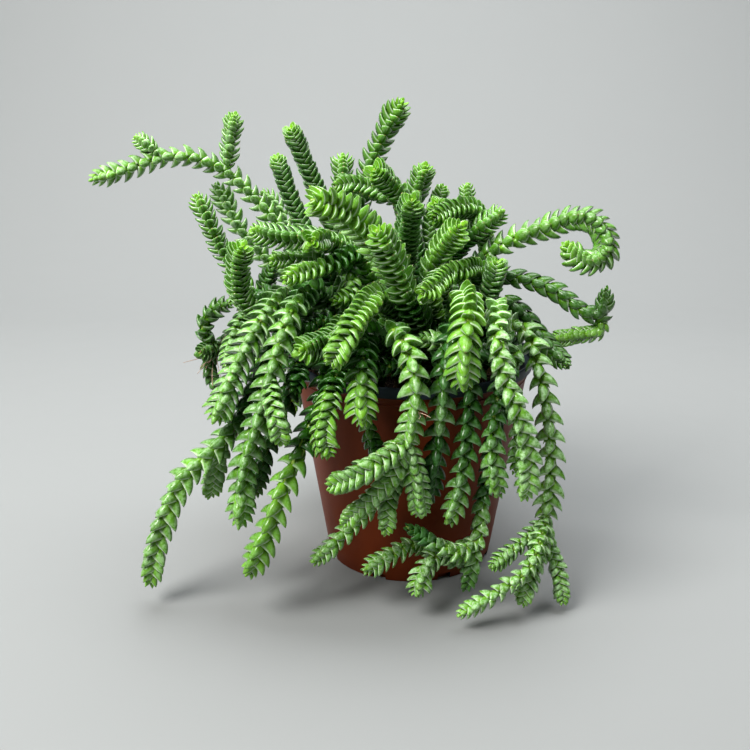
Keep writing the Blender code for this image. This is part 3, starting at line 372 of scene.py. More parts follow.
# Each stem: where it is rooted (x, y), its leafy strand, and the side branches as pairs of the waypoint where
# one leaves and its strand. A waypoint is (across, up, back): two sighted lengths and the y of the point.
STEMS = {
    "stem_left_arch": (
        (-15, 8), Strand(4.0, 2.2, 0, [
            (-27, 42, 4), (-33, 53, 6), (-42, 63, 7), (-56, 76, 6), (-68, 81, 3), (-78, 81, 2), (-91, 77, -2),
            (-107, 72, -6)]),
        [(5, Strand(3.4, 1.2, 0, [(-84, 85, 0), (-90, 89, 0)])),
         (3, Strand(3.8, 1.3, 0, [(-54, 84, 5), (-53, 91, 4), (-52, 98, 2)])),
         (0, Strand(4.3, 1.7, 0, [(-32, 54, 13), (-37, 63, 15), (-43, 69, 15)]))]),
    "stem_left_grey": (
        (-21, 16), Strand(4.2, 2.1, 0, [
            (-44, 47, 14), (-50, 54, 14), (-54, 61, 13), (-57, 67, 12), (-60, 72, 11)]), []),
    "stem_left_upright": (
        (-26, 2), Strand(3.9, 1.45, 0, [(-50, 35, -4), (-58, 48, -6), (-61, 55, -8), (-67, 68, -8)]), []),
    "stem_left_column": (
        (-28, -13), Strand(4.8, 1.2, 45, [(-50, 31, -24), (-51, 40, -28), (-49, 49, -33)]), []),
    "stem_left_level": (
        (-11, -4), Strand(4.6, 1.3, 45, [
            (-11, 47, -10), (-19, 50, -14), (-26, 51, -17), (-33, 51, -19), (-47, 54, -22)]),
        [(1, Strand(4.6, 1.2, 0, [(-20, 48, -24), (-23, 47, -36)])),
         (1, Strand(4.0, 1.5, 30, [(-25, 43, -9), (-32, 43, -9), (-40, 42, -11)]))]),
    "stem_tall_left_outer": (
        (-12, 4), Strand(4.1, 1.25, 45, [(-23, 46, 0), (-26, 53, 2), (-32, 67, 0), (-37, 82, -4)]), []),
    "stem_tall_left_inner": (
        (-6, 13), Strand(4.3, 1.25, 45, [(-17, 59, 14), (-21, 68, 12), (-28, 84, 8), (-32, 93, 4)]), []),
    "stem_back_short": (
        (-3, 27), Strand(4.7, 1.4, 0, [(-11, 57, 30), (-12, 70, 30), (-12, 83, 30)]), []),
    "stem_top_spire": (
        (4, 20), Strand(4.9, 1.85, 0, [(-6, 63, 22), (-2, 77, 21), (4, 91, 17), (11, 103, 12)]), []),
    "stem_crown_front": (
        (8, 8), Strand(5.0, 1.25, 45, [(12, 56, 8), (9, 65, 6), (4, 71, 2), (-2, 77, -5)]),
        [(1, Strand(4.4, 1.3, 45, [(3, 67, 8), (-9, 71, 4), (-16, 70, 2)]))]),
    "stem_great_left": (
        (0, -10), Strand(6.9, 2.2, 10, [(7, 38, -28), (2, 47, -36), (-5, 55, -43), (-19, 64, -56),
                                        (-26, 65, -60)]), []),
    "stem_great_front": (
        (5, -15), Strand(5.5, 1.9, 10, [(10, 28, -36), (6, 41, -47), (-1, 55, -57)]), []),
    "stem_crown_right": (
        (12, 18), Strand(4.6, 1.2, 0, [(12, 56, 20), (14, 64, 20), (19, 79, 16)]), []),
    "stem_far_right_pair": (
        (20, 22), Strand(3.6, 1.15, 45, [(20, 57, 26), (22, 63, 28), (26, 71, 28)]),
        [(0, Strand(3.3, 1.15, 0, [(30, 57, 25), (34, 64, 26), (34, 72, 28)]))]),
    "stem_dark_column": (
        (6, -3), Strand(5.0, 1.3, 45, [(10, 33, -10), (11, 41, -14), (13, 58, -26), (14, 66, -32)]), []),
    "stem_right_nod": (
        (25, 8), Strand(4.3, 1.3, 45, [(41, 52, 4), (38, 60, 0), (28, 61, -11), (20, 57, -18)]),
        [(0, Strand(4.0, 1.2, 45, [(30, 56, 2), (22, 65, -7)]))]),
    "stem_right_thick": (
        (22, -2), Strand(4.2, 1.15, 45, [(29, 43, -6), (35, 51, -8), (49, 62, -8)]), []),
    "stem_right_broad": (
        (14, -9), Strand(5.1, 1.5, 45, [(19, 29, -22), (29, 46, -33), (35, 54, -39)]), []),
    "stem_right_curl": (
        (29, -5), Strand(4.8, 2.6, 0, [
            (35, 32, -11), (39, 39, -14), (49, 48, -14), (63, 54, -12), (75, 58, -12), (81, 57, -13),
            (85, 52, -14), (86, 48, -15), (83, 43, -17), (78, 42, -18), (73, 45, -18), (70, 50, -18)]), []),
    "stem_right_column": (
        (27, -14), Strand(4.7, 1.2, 45, [(40, 20, -24), (42, 27, -27), (46, 43, -31)]), []),
    "stem_right_arch": (
        (33, 5), Strand(3.8, 2.5, 0, [
            (41, 31, 4), (46, 37, 4), (52, 36, 2), (67, 31, -2), (78, 23, -4), (83, 22, -4), (86, 33, -6)]),
        [(5, Strand(3.6, 1.2, 0, [(84, 17, -3), (76, 15, -4), (65, 13, -8)]))]),
    "stem_right_spray": (
        (35, -7), Strand(4.2, 2.2, 0, [
            (41, 21, -10), (45, 26, -11), (50, 24, -11), (61, 13, -14), (67, 7, -17), (72, 2, -23)]), []),
    "stem_front_nod": (
        (17, -13), Strand(4.4, 1.2, 45, [(39, 38, -18), (35, 37, -26), (23, 29, -39), (16, 26, -45)]), []),
    "stem_front_ladder": (
        (19, -19), Strand(5.6, 1.8, 0, [
            (32, 31, -38), (34, 27, -48), (34, 20, -57), (33, 11, -61), (32, -6, -62)]), []),
    "stem_front_left_fall": (
        (-3, -17), Strand(5.4, 1.35, 45, [
            (9, 29, -32), (4, 29, -42), (-5, 18, -55), (-9, 11, -59), (-15, 2, -63)]), []),
    "stem_front_fan": (
        (-14, -18), Strand(5.0, 1.2, 0, [(-9, 14, -40), (-14, 10, -47), (-21, 8, -52), (-28, 6, -56)]),
        [(0, Strand(3.6, 1.6, 0, [(-14, 17, -36), (-21, 14, -40), (-28, 13, -42)]))]),
    "stem_front_pendant": (
        (-6, -23), Strand(5.4, 1.9, 0, [(-4, 11, -44), (-5, 5, -53), (-6, -4, -59), (-6, -20, -63)]), []),
    "stem_front_cascade": (
        (0, -27), Strand(4.9, 2.6, 0, [
            (1, 14, -42), (6, 11, -50), (9, 7, -55), (12, 0, -58), (13, -13, -59), (11, -26, -59),
            (10, -31, -59)]),
        [(6, Strand(4.9, 1.55, 45, [(0, -34, -66), (-12, -40, -69), (-19, -42, -70)])),
         (6, Strand(4.1, 1.5, 0, [(13, -35, -59), (15, -46, -59), (16, -53, -59)])),
         (6, Strand(4.1, 1.5, 45, [(7, -38, -59), (2, -43, -60), (-12, -56, -62)])),
         (6, Strand(3.6, 1.8, 20, [(8, -40, -53), (3, -46, -51), (-11, -59, -52), (-24, -71, -54)])),
         (6, Strand(3.7, 1.5, 45, [(9, -38, -54), (6, -46, -56), (5, -60, -59)]))]),
    "stem_front_strand": (
        (9, -27), Strand(4.7, 2.55, 0, [
            (27, 16, -44), (25, 9, -50), (25, 2, -54), (25, -13, -55), (24, -28, -55), (20, -50, -53)]),
        [(0, Strand(3.6, 2.2, 0, [(20, 13, -40), (14, 14, -38), (8, 15, -37)]))]),
    "stem_right_strand": (
        (19, -26), Strand(4.8, 2.75, 20, [
            (42, 9, -42), (41, 0, -49), (39, -9, -52), (35, -26, -54), (30, -43, -55), (25, -57, -55)]), []),
    "stem_right_weave": (
        (27, -22), Strand(4.1, 2.45, 45, [
            (47, 9, -34), (47, -2, -42), (46, -13, -45), (43, -33, -47), (39, -52, -49), (38, -61, -50),
            (33, -80, -50)]),
        [(5, Strand(3.8, 2.2, 45, [(32, -65, -54), (17, -59, -56), (10, -55, -56)])),
         (5, Strand(4.4, 1.65, 0, [(31, -66, -50), (25, -66, -53), (20, -70, -56), (15, -83, -60)])),
         (5, Strand(4.0, 1.75, 45, [(31, -69, -46), (14, -64, -48), (7, -67, -51), (-5, -74, -54)]))]),
    "stem_right_inner_fall": (
        (25, -18), Strand(4.3, 2.5, 20, [
            (46, 11, -36), (45, 0, -46), (43, -9, -53), (42, -24, -57), (45, -46, -58)]),
        [(1, Strand(3.4, 2.3, 0, [(48, -9, -42), (50, -19, -44), (50, -37, -45)]))]),
    "stem_right_fall": (
        (28, -15), Strand(4.7, 2.5, 45, [
            (40, 26, -36), (42, 22, -50), (43, 14, -58), (46, 0, -60), (51, -13, -60), (56, -28, -59),
            (55, -47, -57)]), []),
    "stem_right_long": (
        (35, -14), Strand(5.2, 3.2, 20, [
            (44, 17, -15), (49, 16, -20), (53, 10, -26), (59, -3, -32), (63, -16, -34), (65, -33, -37),
            (64, -51, -43), (63, -60, -46)]),
        [(7, Strand(4.3, 1.65, 45, [(62, -64, -49), (58, -74, -55), (54, -86, -58)])),
         (7, Strand(3.6, 1.6, 45, [(64, -64, -46), (67, -71, -48), (70, -88, -54)])),
         (7, Strand(3.4, 1.6, 0, [(58, -60, -48), (47, -68, -52), (41, -72, -54)])),
         (7, Strand(3.4, 2.1, 0, [(60, -65, -53), (57, -72, -58), (47, -80, -61), (30, -90, -64)]))]),
    "stem_left_fall": (
        (-22, -15), Strand(5.2, 2.3, 0, [
            (-25, 32, -28), (-29, 27, -40), (-34, 13, -51), (-38, -1, -54), (-43, -17, -56), (-48, -33, -56),
            (-50, -58, -56)]),
        [(3, Strand(4.3, 1.5, 45, [(-37, -12, -61), (-33, -27, -63)]))]),
    "stem_left_broad": (
        (-29, -12), Strand(5.3, 1.8, 0, [
            (-32, 29, -22), (-37, 26, -32), (-42, 19, -39), (-50, 4, -45), (-55, -10, -49), (-59, -19, -51)]),
        [(0, Strand(4.2, 1.6, 20, [(-42, 28, -16), (-50, 17, -24), (-55, 2, -31)]))]),
    "stem_left_long": (
        (-31, -17), Strand(5.4, 2.6, 20, [
            (-35, 11, -30), (-40, 4, -37), (-49, -12, -45), (-57, -25, -47), (-70, -38, -47), (-78, -54, -47),
            (-84, -79, -47)]),
        [(3, Strand(4.6, 1.9, 20, [(-59, -31, -42), (-62, -46, -39)]))]),
    "stem_left_inner_fall": (
        (-23, -21), Strand(4.4, 2.3, 0, [
            (-26, 11, -36), (-29, 4, -42), (-35, -15, -45), (-42, -30, -45), (-45, -46, -45)]),
        [(1, Strand(4.3, 1.5, 20, [(-28, -3, -47), (-30, -8, -48)]))]),
    "stem_left_loop": (
        (-35, 3), Strand(3.7, 1.9, 20, [(-42, 26, 4), (-50, 18, 4), (-57, 11, 2), (-62, 5, 0), (-58, -7, 0)]),
        [(0, Strand(3.8, 2.0, 30, [(-42, 32, -3), (-38, 41, -6)])),
         (2, Strand(4.0, 2.8, 0, [
             (-62, 13, -1), (-63, 19, -3), (-60, 24, -4), (-55, 27, -4), (-50, 28, -5)])),
         (2, Strand(4.0, 1.6, 0, [(-62, 9, -3), (-66, 8, -9)]))]),
    "stem_front_left_drop": (
        (-10, -24), Strand(4.7, 1.4, 20, [(-12, 3, -48), (-17, -12, -61), (-19, -24, -66), (-16, -31, -68)]),
        []),
    "stem_front_left_long": (
        (-16, -26), Strand(5.6, 3.0, 20, [
            (-16, -4, -48), (-20, -12, -55), (-27, -27, -61), (-34, -41, -62), (-39, -55, -60),
            (-48, -75, -56)]), []),
    "stem_left_nod": (
        (-8, -9), Strand(4.3, 1.9, 20, [(-9, 46, -18), (-17, 42, -26), (-35, 33, -39)]),
        [(0, Strand(3.8, 2.0, 20, [(-9, 35, -20), (-11, 29, -26), (-17, 28, -30)]))]),
    "stem_centre_drop": (
        (3, -31), Strand(3.4, 2.0, 0, [(-3, 1, -46), (-4, -9, -49), (-3, -19, -50), (1, -31, -50)]), []),
}


def turned(profile, sides):
    """Vertices and faces of a closed profile turned about Z, whose first and last points are on the axis."""
    vertices = [(0.0, 0.0, profile[0][1])]
    for radius, height in profile[1:-1]:
        for side in range(sides):
            angle = 2 * math.pi * side / sides
            vertices.append((radius * math.cos(angle), radius * math.sin(angle), height))
    vertices.append((0.0, 0.0, profile[-1][1]))
    rings = len(profile) - 2
    last = len(vertices) - 1
    faces = []
    for side in range(sides):
        following = (side + 1) % sides
        faces.append((0, 1 + following, 1 + side))
        for ring in range(rings - 1):
            low = 1 + ring * sides
            high = low + sides
            faces.append((low + side, low + following, high + following, high + side))
        top = 1 + (rings - 1) * sides
        faces.append((top + side, top + following, last))
    return vertices, faces


def wall_radius(height):
    """The pot wall's outer radius at a height."""
    return FOOT_RADIUS + (WALL_TOP_RADIUS - FOOT_RADIUS) * height / WALL_TOP


def sighted(across, up, back):
    """The point at y = back that is seen this far across and up from the middle of the view."""
    ray = FORWARD + UPWARD * (up / TRUE_DISTANCE) + np.array((across / TRUE_DISTANCE, 0.0, 0.0))
    return EYE + ray * (back - EYE[1]) / ray[1]


def lengths_along(points):
    """How far along its line each point is."""
    return np.concatenate(([0.0], np.cumsum(np.linalg.norm(np.diff(points, axis=0), axis=1))))


def at_stops(points, along, stops):
    """The points of a line at some lengths along it."""
    return np.column_stack([np.interp(stops, along, points[:, axis]) for axis in range(3)])


def smooth_curve(points, spacing):
    """Points about this far apart along the smooth curve through the given ones."""
    points = np.asarray(points, float)
    knots = lengths_along(points)
    slopes = np.gradient(points, knots, axis=0)
    fine = np.linspace(0.0, knots[-1], max(12, int(knots[-1] * 3)))
    left = np.clip(np.searchsorted(knots, fine, side="right") - 1, 0, len(knots) - 2)
    width = (knots[left + 1] - knots[left])[:, None]
    t = (fine - knots[left])[:, None] / width
    curve = ((2 * t**3 - 3 * t**2 + 1) * points[left] + (t**3 - 2 * t**2 + t) * width * slopes[left]
             + (3 * t**2 - 2 * t**3) * points[left + 1] + (t**3 - t**2) * width * slopes[left + 1])
    along = lengths_along(curve)
    return at_stops(curve, along, np.linspace(0.0, along[-1], max(3, round(along[-1] / spacing) + 1)))


class Shoot:
    """One leafy strand: a rooted stem or a side branch of one."""

    def __init__(self, node, strand, points, parent=None, joint=0):
        self.node = node
        self.name = node.removeprefix("stem_")
        self.reach = strand.reach
        self.pitch = strand.pitch
        self.turn = math.radians(strand.turn)
        self.points = points
        self.parent = parent
        self.joint = joint

    def reach_at(self, along, total):
        """How far leaves reach from the centreline at a length along it."""
        if self.parent is None:
            grown = np.clip((along - BARE_LENGTH) / FOOT_RAMP, 0.0, 1.0)
            start = STEM_FOOT_RADIUS + (self.reach - STEM_FOOT_RADIUS) * grown
        else:
            start = self.reach * (FORK_SHARE + (1 - FORK_SHARE) * np.clip(along / FORK_RAMP, 0.0, 1.0))
        left = np.sqrt(np.clip((total - along) / TIP_RAMP, 0.0, 1.0))
        return np.minimum(start, self.reach * (TIP_SHARE + (1 - TIP_SHARE) * left))


def spread_out(source, number, count, bearings, jitter):
    """The outward and sideways directions at one of some even but slightly shuffled bearings."""
    first, last = bearings
    bearing = math.radians(first + (last - first) * (number + 0.5) / count + source.uniform(-jitter, jitter))
    outward = np.array((math.cos(bearing), math.sin(bearing), 0.0))
    return outward, np.array((-outward[1], outward[0], 0.0))


def hanging_stem(source, number):
    """A stem that arches over the rim and hangs, with a side branch that hangs beside it."""
    outward, sideways = spread_out(source, number, HIDDEN_HANGING, HANGING_BEARINGS, 3)
    swing = sideways * source.uniform(-1, 1)
    crest = source.uniform(*CREST_HEIGHTS)
    out = source.uniform(*HANGING_RADII)
    bottom = source.uniform(*HANGING_ENDS)
    route = [outward * OVER_RIM_RADIUS + (0, 0, crest),
             outward * out + swing * 3 + (0, 0, crest - 10),
             outward * (out + 3) + swing * 7 + (0, 0, (crest + bottom) / 2),
             outward * (out + 1) + swing * 12 + (0, 0, bottom)]
    end = source.uniform(*FORK_ENDS)
    fork = [outward * (out + 5) - swing * 6 + (0, 0, crest - 3),
            outward * (out + 9) - swing * 11 + (0, 0, crest - 18),
            outward * (out + 9) - swing * 15 + (0, 0, end)]
    reach = source.uniform(*HANGING_REACHES)
    turn = 45 * (number % 2)
    return (outward * HANGING_ROOTS[number % 2], Strand(reach, HANGING_PITCH, turn, route),
            [(0, Strand(reach - FORK_SHORTER, FORK_PITCH, 45, fork))])


def upright_stem(source, number):
    """A stem that stands in the crown and leans out."""
    outward, _ = spread_out(source, number, HIDDEN_UPRIGHT, UPRIGHT_BEARINGS, 5)
    route = [outward * 30 + (0, 0, 84), outward * 37 + (0, 0, 94),
             outward * 46 + (0, 0, source.uniform(*UPRIGHT_TOPS))]
    strand = Strand(source.uniform(*UPRIGHT_REACHES), UPRIGHT_PITCH, 45, route)
    return outward * UPRIGHT_ROOT, strand, []


def hidden_stems():
    """Stems behind the pot, which stand, arch, fork and hang as those in front do. Their waypoints are real
    points."""
    source = np.random.default_rng(HIDDEN_SEED)
    found = {}
    for number in range(HIDDEN_HANGING):
        found[f"stem_hidden_hanging_{number + 1}"] = hanging_stem(source, number)
    for number in range(HIDDEN_UPRIGHT):
        found[f"stem_hidden_upright_{number + 1}"] = upright_stem(source, number)
    return found


def spread_roots(roots):
    """Root places eased apart until none crowds another, all of them inside the pot."""
    places = np.array([place[:2] for place in roots], float)
    for _ in range(SETTLE_ROUNDS):
        between = places[:, None] - places[None]
        distance = np.sqrt((between ** 2).sum(axis=2)) + 100 * np.eye(len(places))
        short = np.clip(ROOT_SPACING - distance, 0.0, None)
        places = places + ROOT_PUSH * (between / distance[..., None] * short[..., None]).sum(axis=1)
        out = np.sqrt((places ** 2).sum(axis=1))
        places *= np.minimum(1.0, ROOT_CIRCLE / out)[:, None]
    return np.round(places, 1)


def rooted_shoot(node, root, strand, route):
    """A stem that stands upright in its hole before it follows its route."""
    upright = [(root[0], root[1], HOLE_FLOOR + FIT), (root[0], root[1], 0.5 * (HOLE_FLOOR + BARE_TOP)),
               (root[0], root[1], BARE_TOP)]
    return Shoot(node, strand, smooth_curve(np.vstack([upright, route]), SAMPLE))


def grow(node, root, strand, branches):
    """A rooted stem's shoots, with routes in real points."""
    stem = rooted_shoot(node, root, strand, strand.route)
    shoots = [stem]
    for waypoint, branch in branches:
        joint = int(np.argmin(np.linalg.norm(stem.points - strand.route[waypoint], axis=1)))
        joint = min(joint, len(stem.points) - 1 - FORK_BACK)
        course = [stem.points[joint], *branch.route]
        shoots.append(Shoot(node, branch, smooth_curve(course, SAMPLE), stem, joint))
    return shoots


def all_shoots():
    """Every shoot of the plant along its chosen route, before the stems make room for each other."""
    stems = {}
    for node, (root, strand, branches) in STEMS.items():
        placed = [(waypoint, branch._replace(route=[sighted(*spot) for spot in branch.route]))
                  for waypoint, branch in branches]
        stems[node] = (root, strand._replace(route=[sighted(*spot) for spot in strand.route]), placed)
    stems.update(hidden_stems())
    roots = spread_roots([root for root, _, _ in stems.values()])
    shoots = []
    for root, (node, (_, strand, branches)) in zip(roots, stems.items()):
        shoots += grow(node, root, strand, branches)
    return shoots


def clear_of_pot(spots, reach):
    """Spots moved, where they need it, to lie this far clear of the pot, the mix and the surface."""
    moved = spots.copy()
    out = np.hypot(moved[:, 0], moved[:, 1])
    away = moved[:, :2] / np.maximum(out, 1e-6)[:, None]
    # Beside the wall and the lip
    height = moved[:, 2]
    wall = np.where(height < WALL_TOP, wall_radius(np.minimum(height, WALL_TOP)), LIP_RADIUS) + reach
    beside = (height < POT_HEIGHT) & (out > OPEN_RADIUS) & (out < wall)
    moved[beside, :2] = away[beside] * wall[beside, None]
    # Round the lip's top edge
    out = np.hypot(moved[:, 0], moved[:, 1])
    from_lip = np.column_stack([out - (LIP_RADIUS - LIP_ROUND), moved[:, 2] - POT_HEIGHT])
    distance = np.maximum(np.linalg.norm(from_lip, axis=1), 1e-6)
    needed = reach + LIP_ROUND
    near = (distance < needed) & (moved[:, 2] > POT_HEIGHT)
    push = from_lip * ((needed - distance) / distance)[:, None]
    moved[near, :2] += away[near] * push[near, :1]
    moved[near, 2] += push[near, 1]
    # Above the mix, and above the surface that the pot stands on
    inside = (np.hypot(moved[:, 0], moved[:, 1]) < WALL_TOP_RADIUS) & (moved[:, 2] > HOLE_FLOOR)
    moved[inside, 2] = np.maximum(moved[inside, 2], MIX_TOP + reach[inside])
    moved[:, 2] = np.maximum(moved[:, 2], reach)
    return moved


class Crowd:
    """Every shoot's centreline as one list of spots, with what each spot needs to know of its neighbours."""

    def __init__(self, shoots):
        self.first = np.concatenate(([0], np.cumsum([len(shoot.points) for shoot in shoots])))
        self.home = np.vstack([shoot.points for shoot in shoots])
        names = [shoot.node for shoot in shoots]
        self.shoot = np.repeat(np.arange(len(shoots)), np.diff(self.first))
        self.node = np.array([names.index(name) for name in names])[self.shoot]
        self.previous = np.arange(len(self.home)) - 1
        self.following = np.arange(len(self.home)) + 1
        self.along = np.zeros(len(self.home))
        self.reach = np.zeros(len(self.home))
        self.held = np.zeros(len(self.home), bool)
        self.joints = []
        for number, shoot in enumerate(shoots):
            self.add(number, shoot, shoots)

    def add(self, number, shoot, shoots):
        """Fills in one shoot's stretch of the lists."""
        begin, end = self.first[number], self.first[number + 1]
        along = lengths_along(shoot.points)
        self.along[begin:end] = along
        self.reach[begin:end] = shoot.reach_at(along, along[-1]) + AIR / 2
        self.following[end - 1] = end - 1
        if shoot.parent is None:
            self.previous[begin] = begin
            self.held[begin:end] = along < BARE_LENGTH
        else:
            self.previous[begin] = self.first[shoots.index(shoot.parent)] + shoot.joint
            self.joints.append((begin, self.previous[begin]))

    def close_pairs(self, spots):
        """Pairs of spots that may touch, apart from those on one plant near their fork."""
        gap = np.sqrt(sum((spots[:, None, axis] - spots[None, :, axis]) ** 2 for axis in range(3)))
        close = gap < self.reach[:, None] + self.reach + LISTED_GAP
        past_fork = (self.along[:, None] + self.along > FORK_SPAN) & (
            np.minimum(self.along[:, None], self.along) > FORK_FREE)
        apart = (self.node[:, None] != self.node) | (
            (self.shoot[:, None] != self.shoot) & past_fork)
        return np.nonzero(np.triu(close & apart, 1))

    def pushed(self, spots, one, two):
        """Spots eased apart where they touch, more in depth than across."""
        between = spots[one] - spots[two]
        distance = np.maximum(np.linalg.norm(between, axis=1), 1e-6)
        overlap = self.reach[one] + self.reach[two] - distance
        hit = overlap > 0
        direction = between[hit] / distance[hit, None]
        depth = (direction * FORWARD).sum(axis=1)[:, None]
        across = direction - depth * FORWARD
        sign = np.where(depth >= 0, 1.0, -1.0)
        deeper = (DEPTH_EASE * np.abs(depth) + LEAST_DEPTH_EASE) * sign * FORWARD
        step = overlap[hit, None] * PUSH * (ACROSS_EASE * across + deeper)
        moves = np.zeros_like(spots)
        np.add.at(moves, one[hit], step)
        np.add.at(moves, two[hit], -step)
        touches = np.bincount(np.concatenate([one[hit], two[hit]]), minlength=len(spots))
        return spots + moves / np.maximum(touches, 1)[:, None]

    def smoothed(self, spots, share):
        """Spots whose shift from home is shared with their neighbours, so that each stem stays smooth."""
        shift = spots - self.home
        shift = (1 - share) * shift + share * 0.5 * (shift[self.previous] + shift[self.following])
        shift[self.held] = 0.0
        return self.home + shift

    def kept_clear(self, spots):
        """Spots clear of the pot, with every stem over the lip where it crosses it and on its own fork."""
        moved = clear_of_pot(spots, self.reach)
        moved[self.held] = spots[self.held]
        out = np.hypot(moved[:, 0], moved[:, 1])
        crossing = np.nonzero((out[self.previous] < WALL_TOP_RADIUS) & (out >= WALL_TOP_RADIUS))[0]
        for over in (crossing, self.previous[crossing]):
            moved[over, 2] = np.maximum(moved[over, 2], POT_HEIGHT + self.reach[over] + OVER_LIP)
        for begin, joint in self.joints:
            moved[begin] = moved[joint]
        return moved


def settle(shoots):
    """Moves the shoots' centrelines until crowded stems have room, with their feet held where they are."""
    crowd = Crowd(shoots)
    spots = crowd.home
    for turn in range(SETTLE_ROUNDS):
        if turn % LIST_EVERY == 0:
            one, two = crowd.close_pairs(spots)
        spots = crowd.pushed(spots, one, two)
        spots = crowd.smoothed(spots, SMOOTHING * math.sqrt(1 - turn / SETTLE_ROUNDS))
        spots = crowd.kept_clear(spots)
    for number, shoot in enumerate(shoots):
        shoot.points = np.round(spots[crowd.first[number]:crowd.first[number + 1]], 2)


def frames_along(shoot, stops, along):
    """Centres at the stops, with a forward, a side and a front direction at each."""
    centres = at_stops(shoot.points, along, stops)
    forward = np.gradient(centres, stops, axis=0)
    forward /= np.linalg.norm(forward, axis=1)[:, None]
    middle = int(np.argmin(np.abs(forward @ FORWARD)))
    fronts = np.zeros_like(forward)
    facing = -FORWARD - (-FORWARD @ forward[middle]) * forward[middle]
    fronts[middle] = facing / np.linalg.norm(facing)
    for order in (range(middle + 1, len(stops)), range(middle - 1, -1, -1)):
        last = fronts[middle]
        for number in order:
            last = last - (last @ forward[number]) * forward[number]
            last = last / np.linalg.norm(last)
            fronts[number] = last
    sides = np.cross(fronts, forward)
    return (centres, forward, np.cos(shoot.turn) * sides + np.sin(shoot.turn) * fronts,
            np.cos(shoot.turn) * fronts - np.sin(shoot.turn) * sides)


def taken_space(shoots):
    """Every centreline as close-set spots, with the reach around each and the node it belongs to."""
    spots, reaches, nodes = [], [], []
    for shoot in shoots:
        along = lengths_along(shoot.points)
        stops = np.linspace(0.0, along[-1], int(along[-1]) + 2)
        spots.append(at_stops(shoot.points, along, stops))
        reaches.append(shoot.reach_at(stops, along[-1]))
        nodes += [shoot.node] * len(stops)
    return np.vstack(spots), np.concatenate(reaches), np.array(nodes)


def is_free(tips, node, taken):
    """Whether each leaf tip is clear of every other stem's reach, of the pot and of the mix."""
    spots, reaches, nodes = taken
    others = nodes != node
    distance = np.linalg.norm(tips[:, None] - spots[others][None], axis=2)
    clear = (distance > reaches[others][None] + AIR).all(axis=1)
    return clear & (clear_of_pot(tips, np.full(len(tips), AIR)) == tips).all(axis=1)


class Look:
    """A material whose surface is one shader, with short calls for the nodes that its patterns need."""

    def __init__(self, name, **sockets):
        self.material = bpy.data.materials.new(name)
        self.material.use_nodes = True
        self.tree = self.material.node_tree
        self.shader = self.tree.nodes["Principled BSDF"]
        for socket, value in sockets.items():
            self.shader.inputs[socket.replace("_", " ")].default_value = value

    def node(self, kind, *inputs, **settings):
        """A node with its settings, and with its inputs set in order: an output is linked, None is left."""
        made = self.tree.nodes.new("ShaderNode" + kind)
        for setting, value in settings.items():
            setattr(made, setting, value)
        sockets = [socket for socket in made.inputs if socket.enabled]
        for socket, value in zip(sockets, inputs):
            self.feed(socket, value)
        return made

    def feed(self, socket, value):
        """Links an output to a socket, or sets the socket's value. None leaves it as it is."""
        if isinstance(value, bpy.types.NodeSocket):
            self.tree.links.new(value, socket)
        elif value is not None:
            if isinstance(value, tuple) and len(value) == 3 and len(socket.default_value) == 4:
                value = (*value, 1.0)
            socket.default_value = value

    def maths(self, operation, *values):
        """The result of an operation on numbers."""
        return self.node("Math", *values, operation=operation).outputs[0]

    def mix(self, share, one, two, blend="MIX"):
        """Two colours mixed."""
        made = self.node("Mix", data_type="RGBA", blend_type=blend)
        self.feed(made.inputs[0], share)
        self.feed(made.inputs[6], one)
        self.feed(made.inputs[7], two)
        return made.outputs[2]

    def ramp(self, value, low, high, first=0.0, last=1.0):
        """The value's place between low and high, eased, from first to last."""
        made = self.node("MapRange", value, low, high, first, last, interpolation_type="SMOOTHSTEP")
        return made.outputs[0]

    def noise(self, place, scale, detail=2.0, roughness=0.5):
        """Noise from 0 to 1, with scale in lumps a metre."""
        made = self.node("TexNoise")
        values = {"Vector": place, "Scale": scale, "Detail": detail, "Roughness": roughness}
        for socket, value in values.items():
            self.feed(made.inputs[socket], value)
        return made.outputs["Fac"]

    def place(self):
        """Where a point is on the object, in metres."""
        return self.node("TexCoord").outputs["Object"]

    def stored(self, name):
        """The four numbers of a mesh's stored colour."""
        read = self.node("Attribute", attribute_name=name)
        parts = self.node("SeparateColor", read.outputs["Color"])
        return (*parts.outputs, read.outputs["Alpha"])

    def finish(self, colour, roughness, height, strength, distance):
        """Links the colour, the roughness and a bump of this height (m) to the shader."""
        self.feed(self.shader.inputs["Base Color"], colour)
        self.feed(self.shader.inputs["Roughness"], roughness)
        bump = self.node("Bump")
        for socket, value in (("Strength", strength), ("Distance", distance), ("Height", height)):
            self.feed(bump.inputs[socket], value)
        self.feed(self.shader.inputs["Normal"], bump.outputs["Normal"])
        return self.material


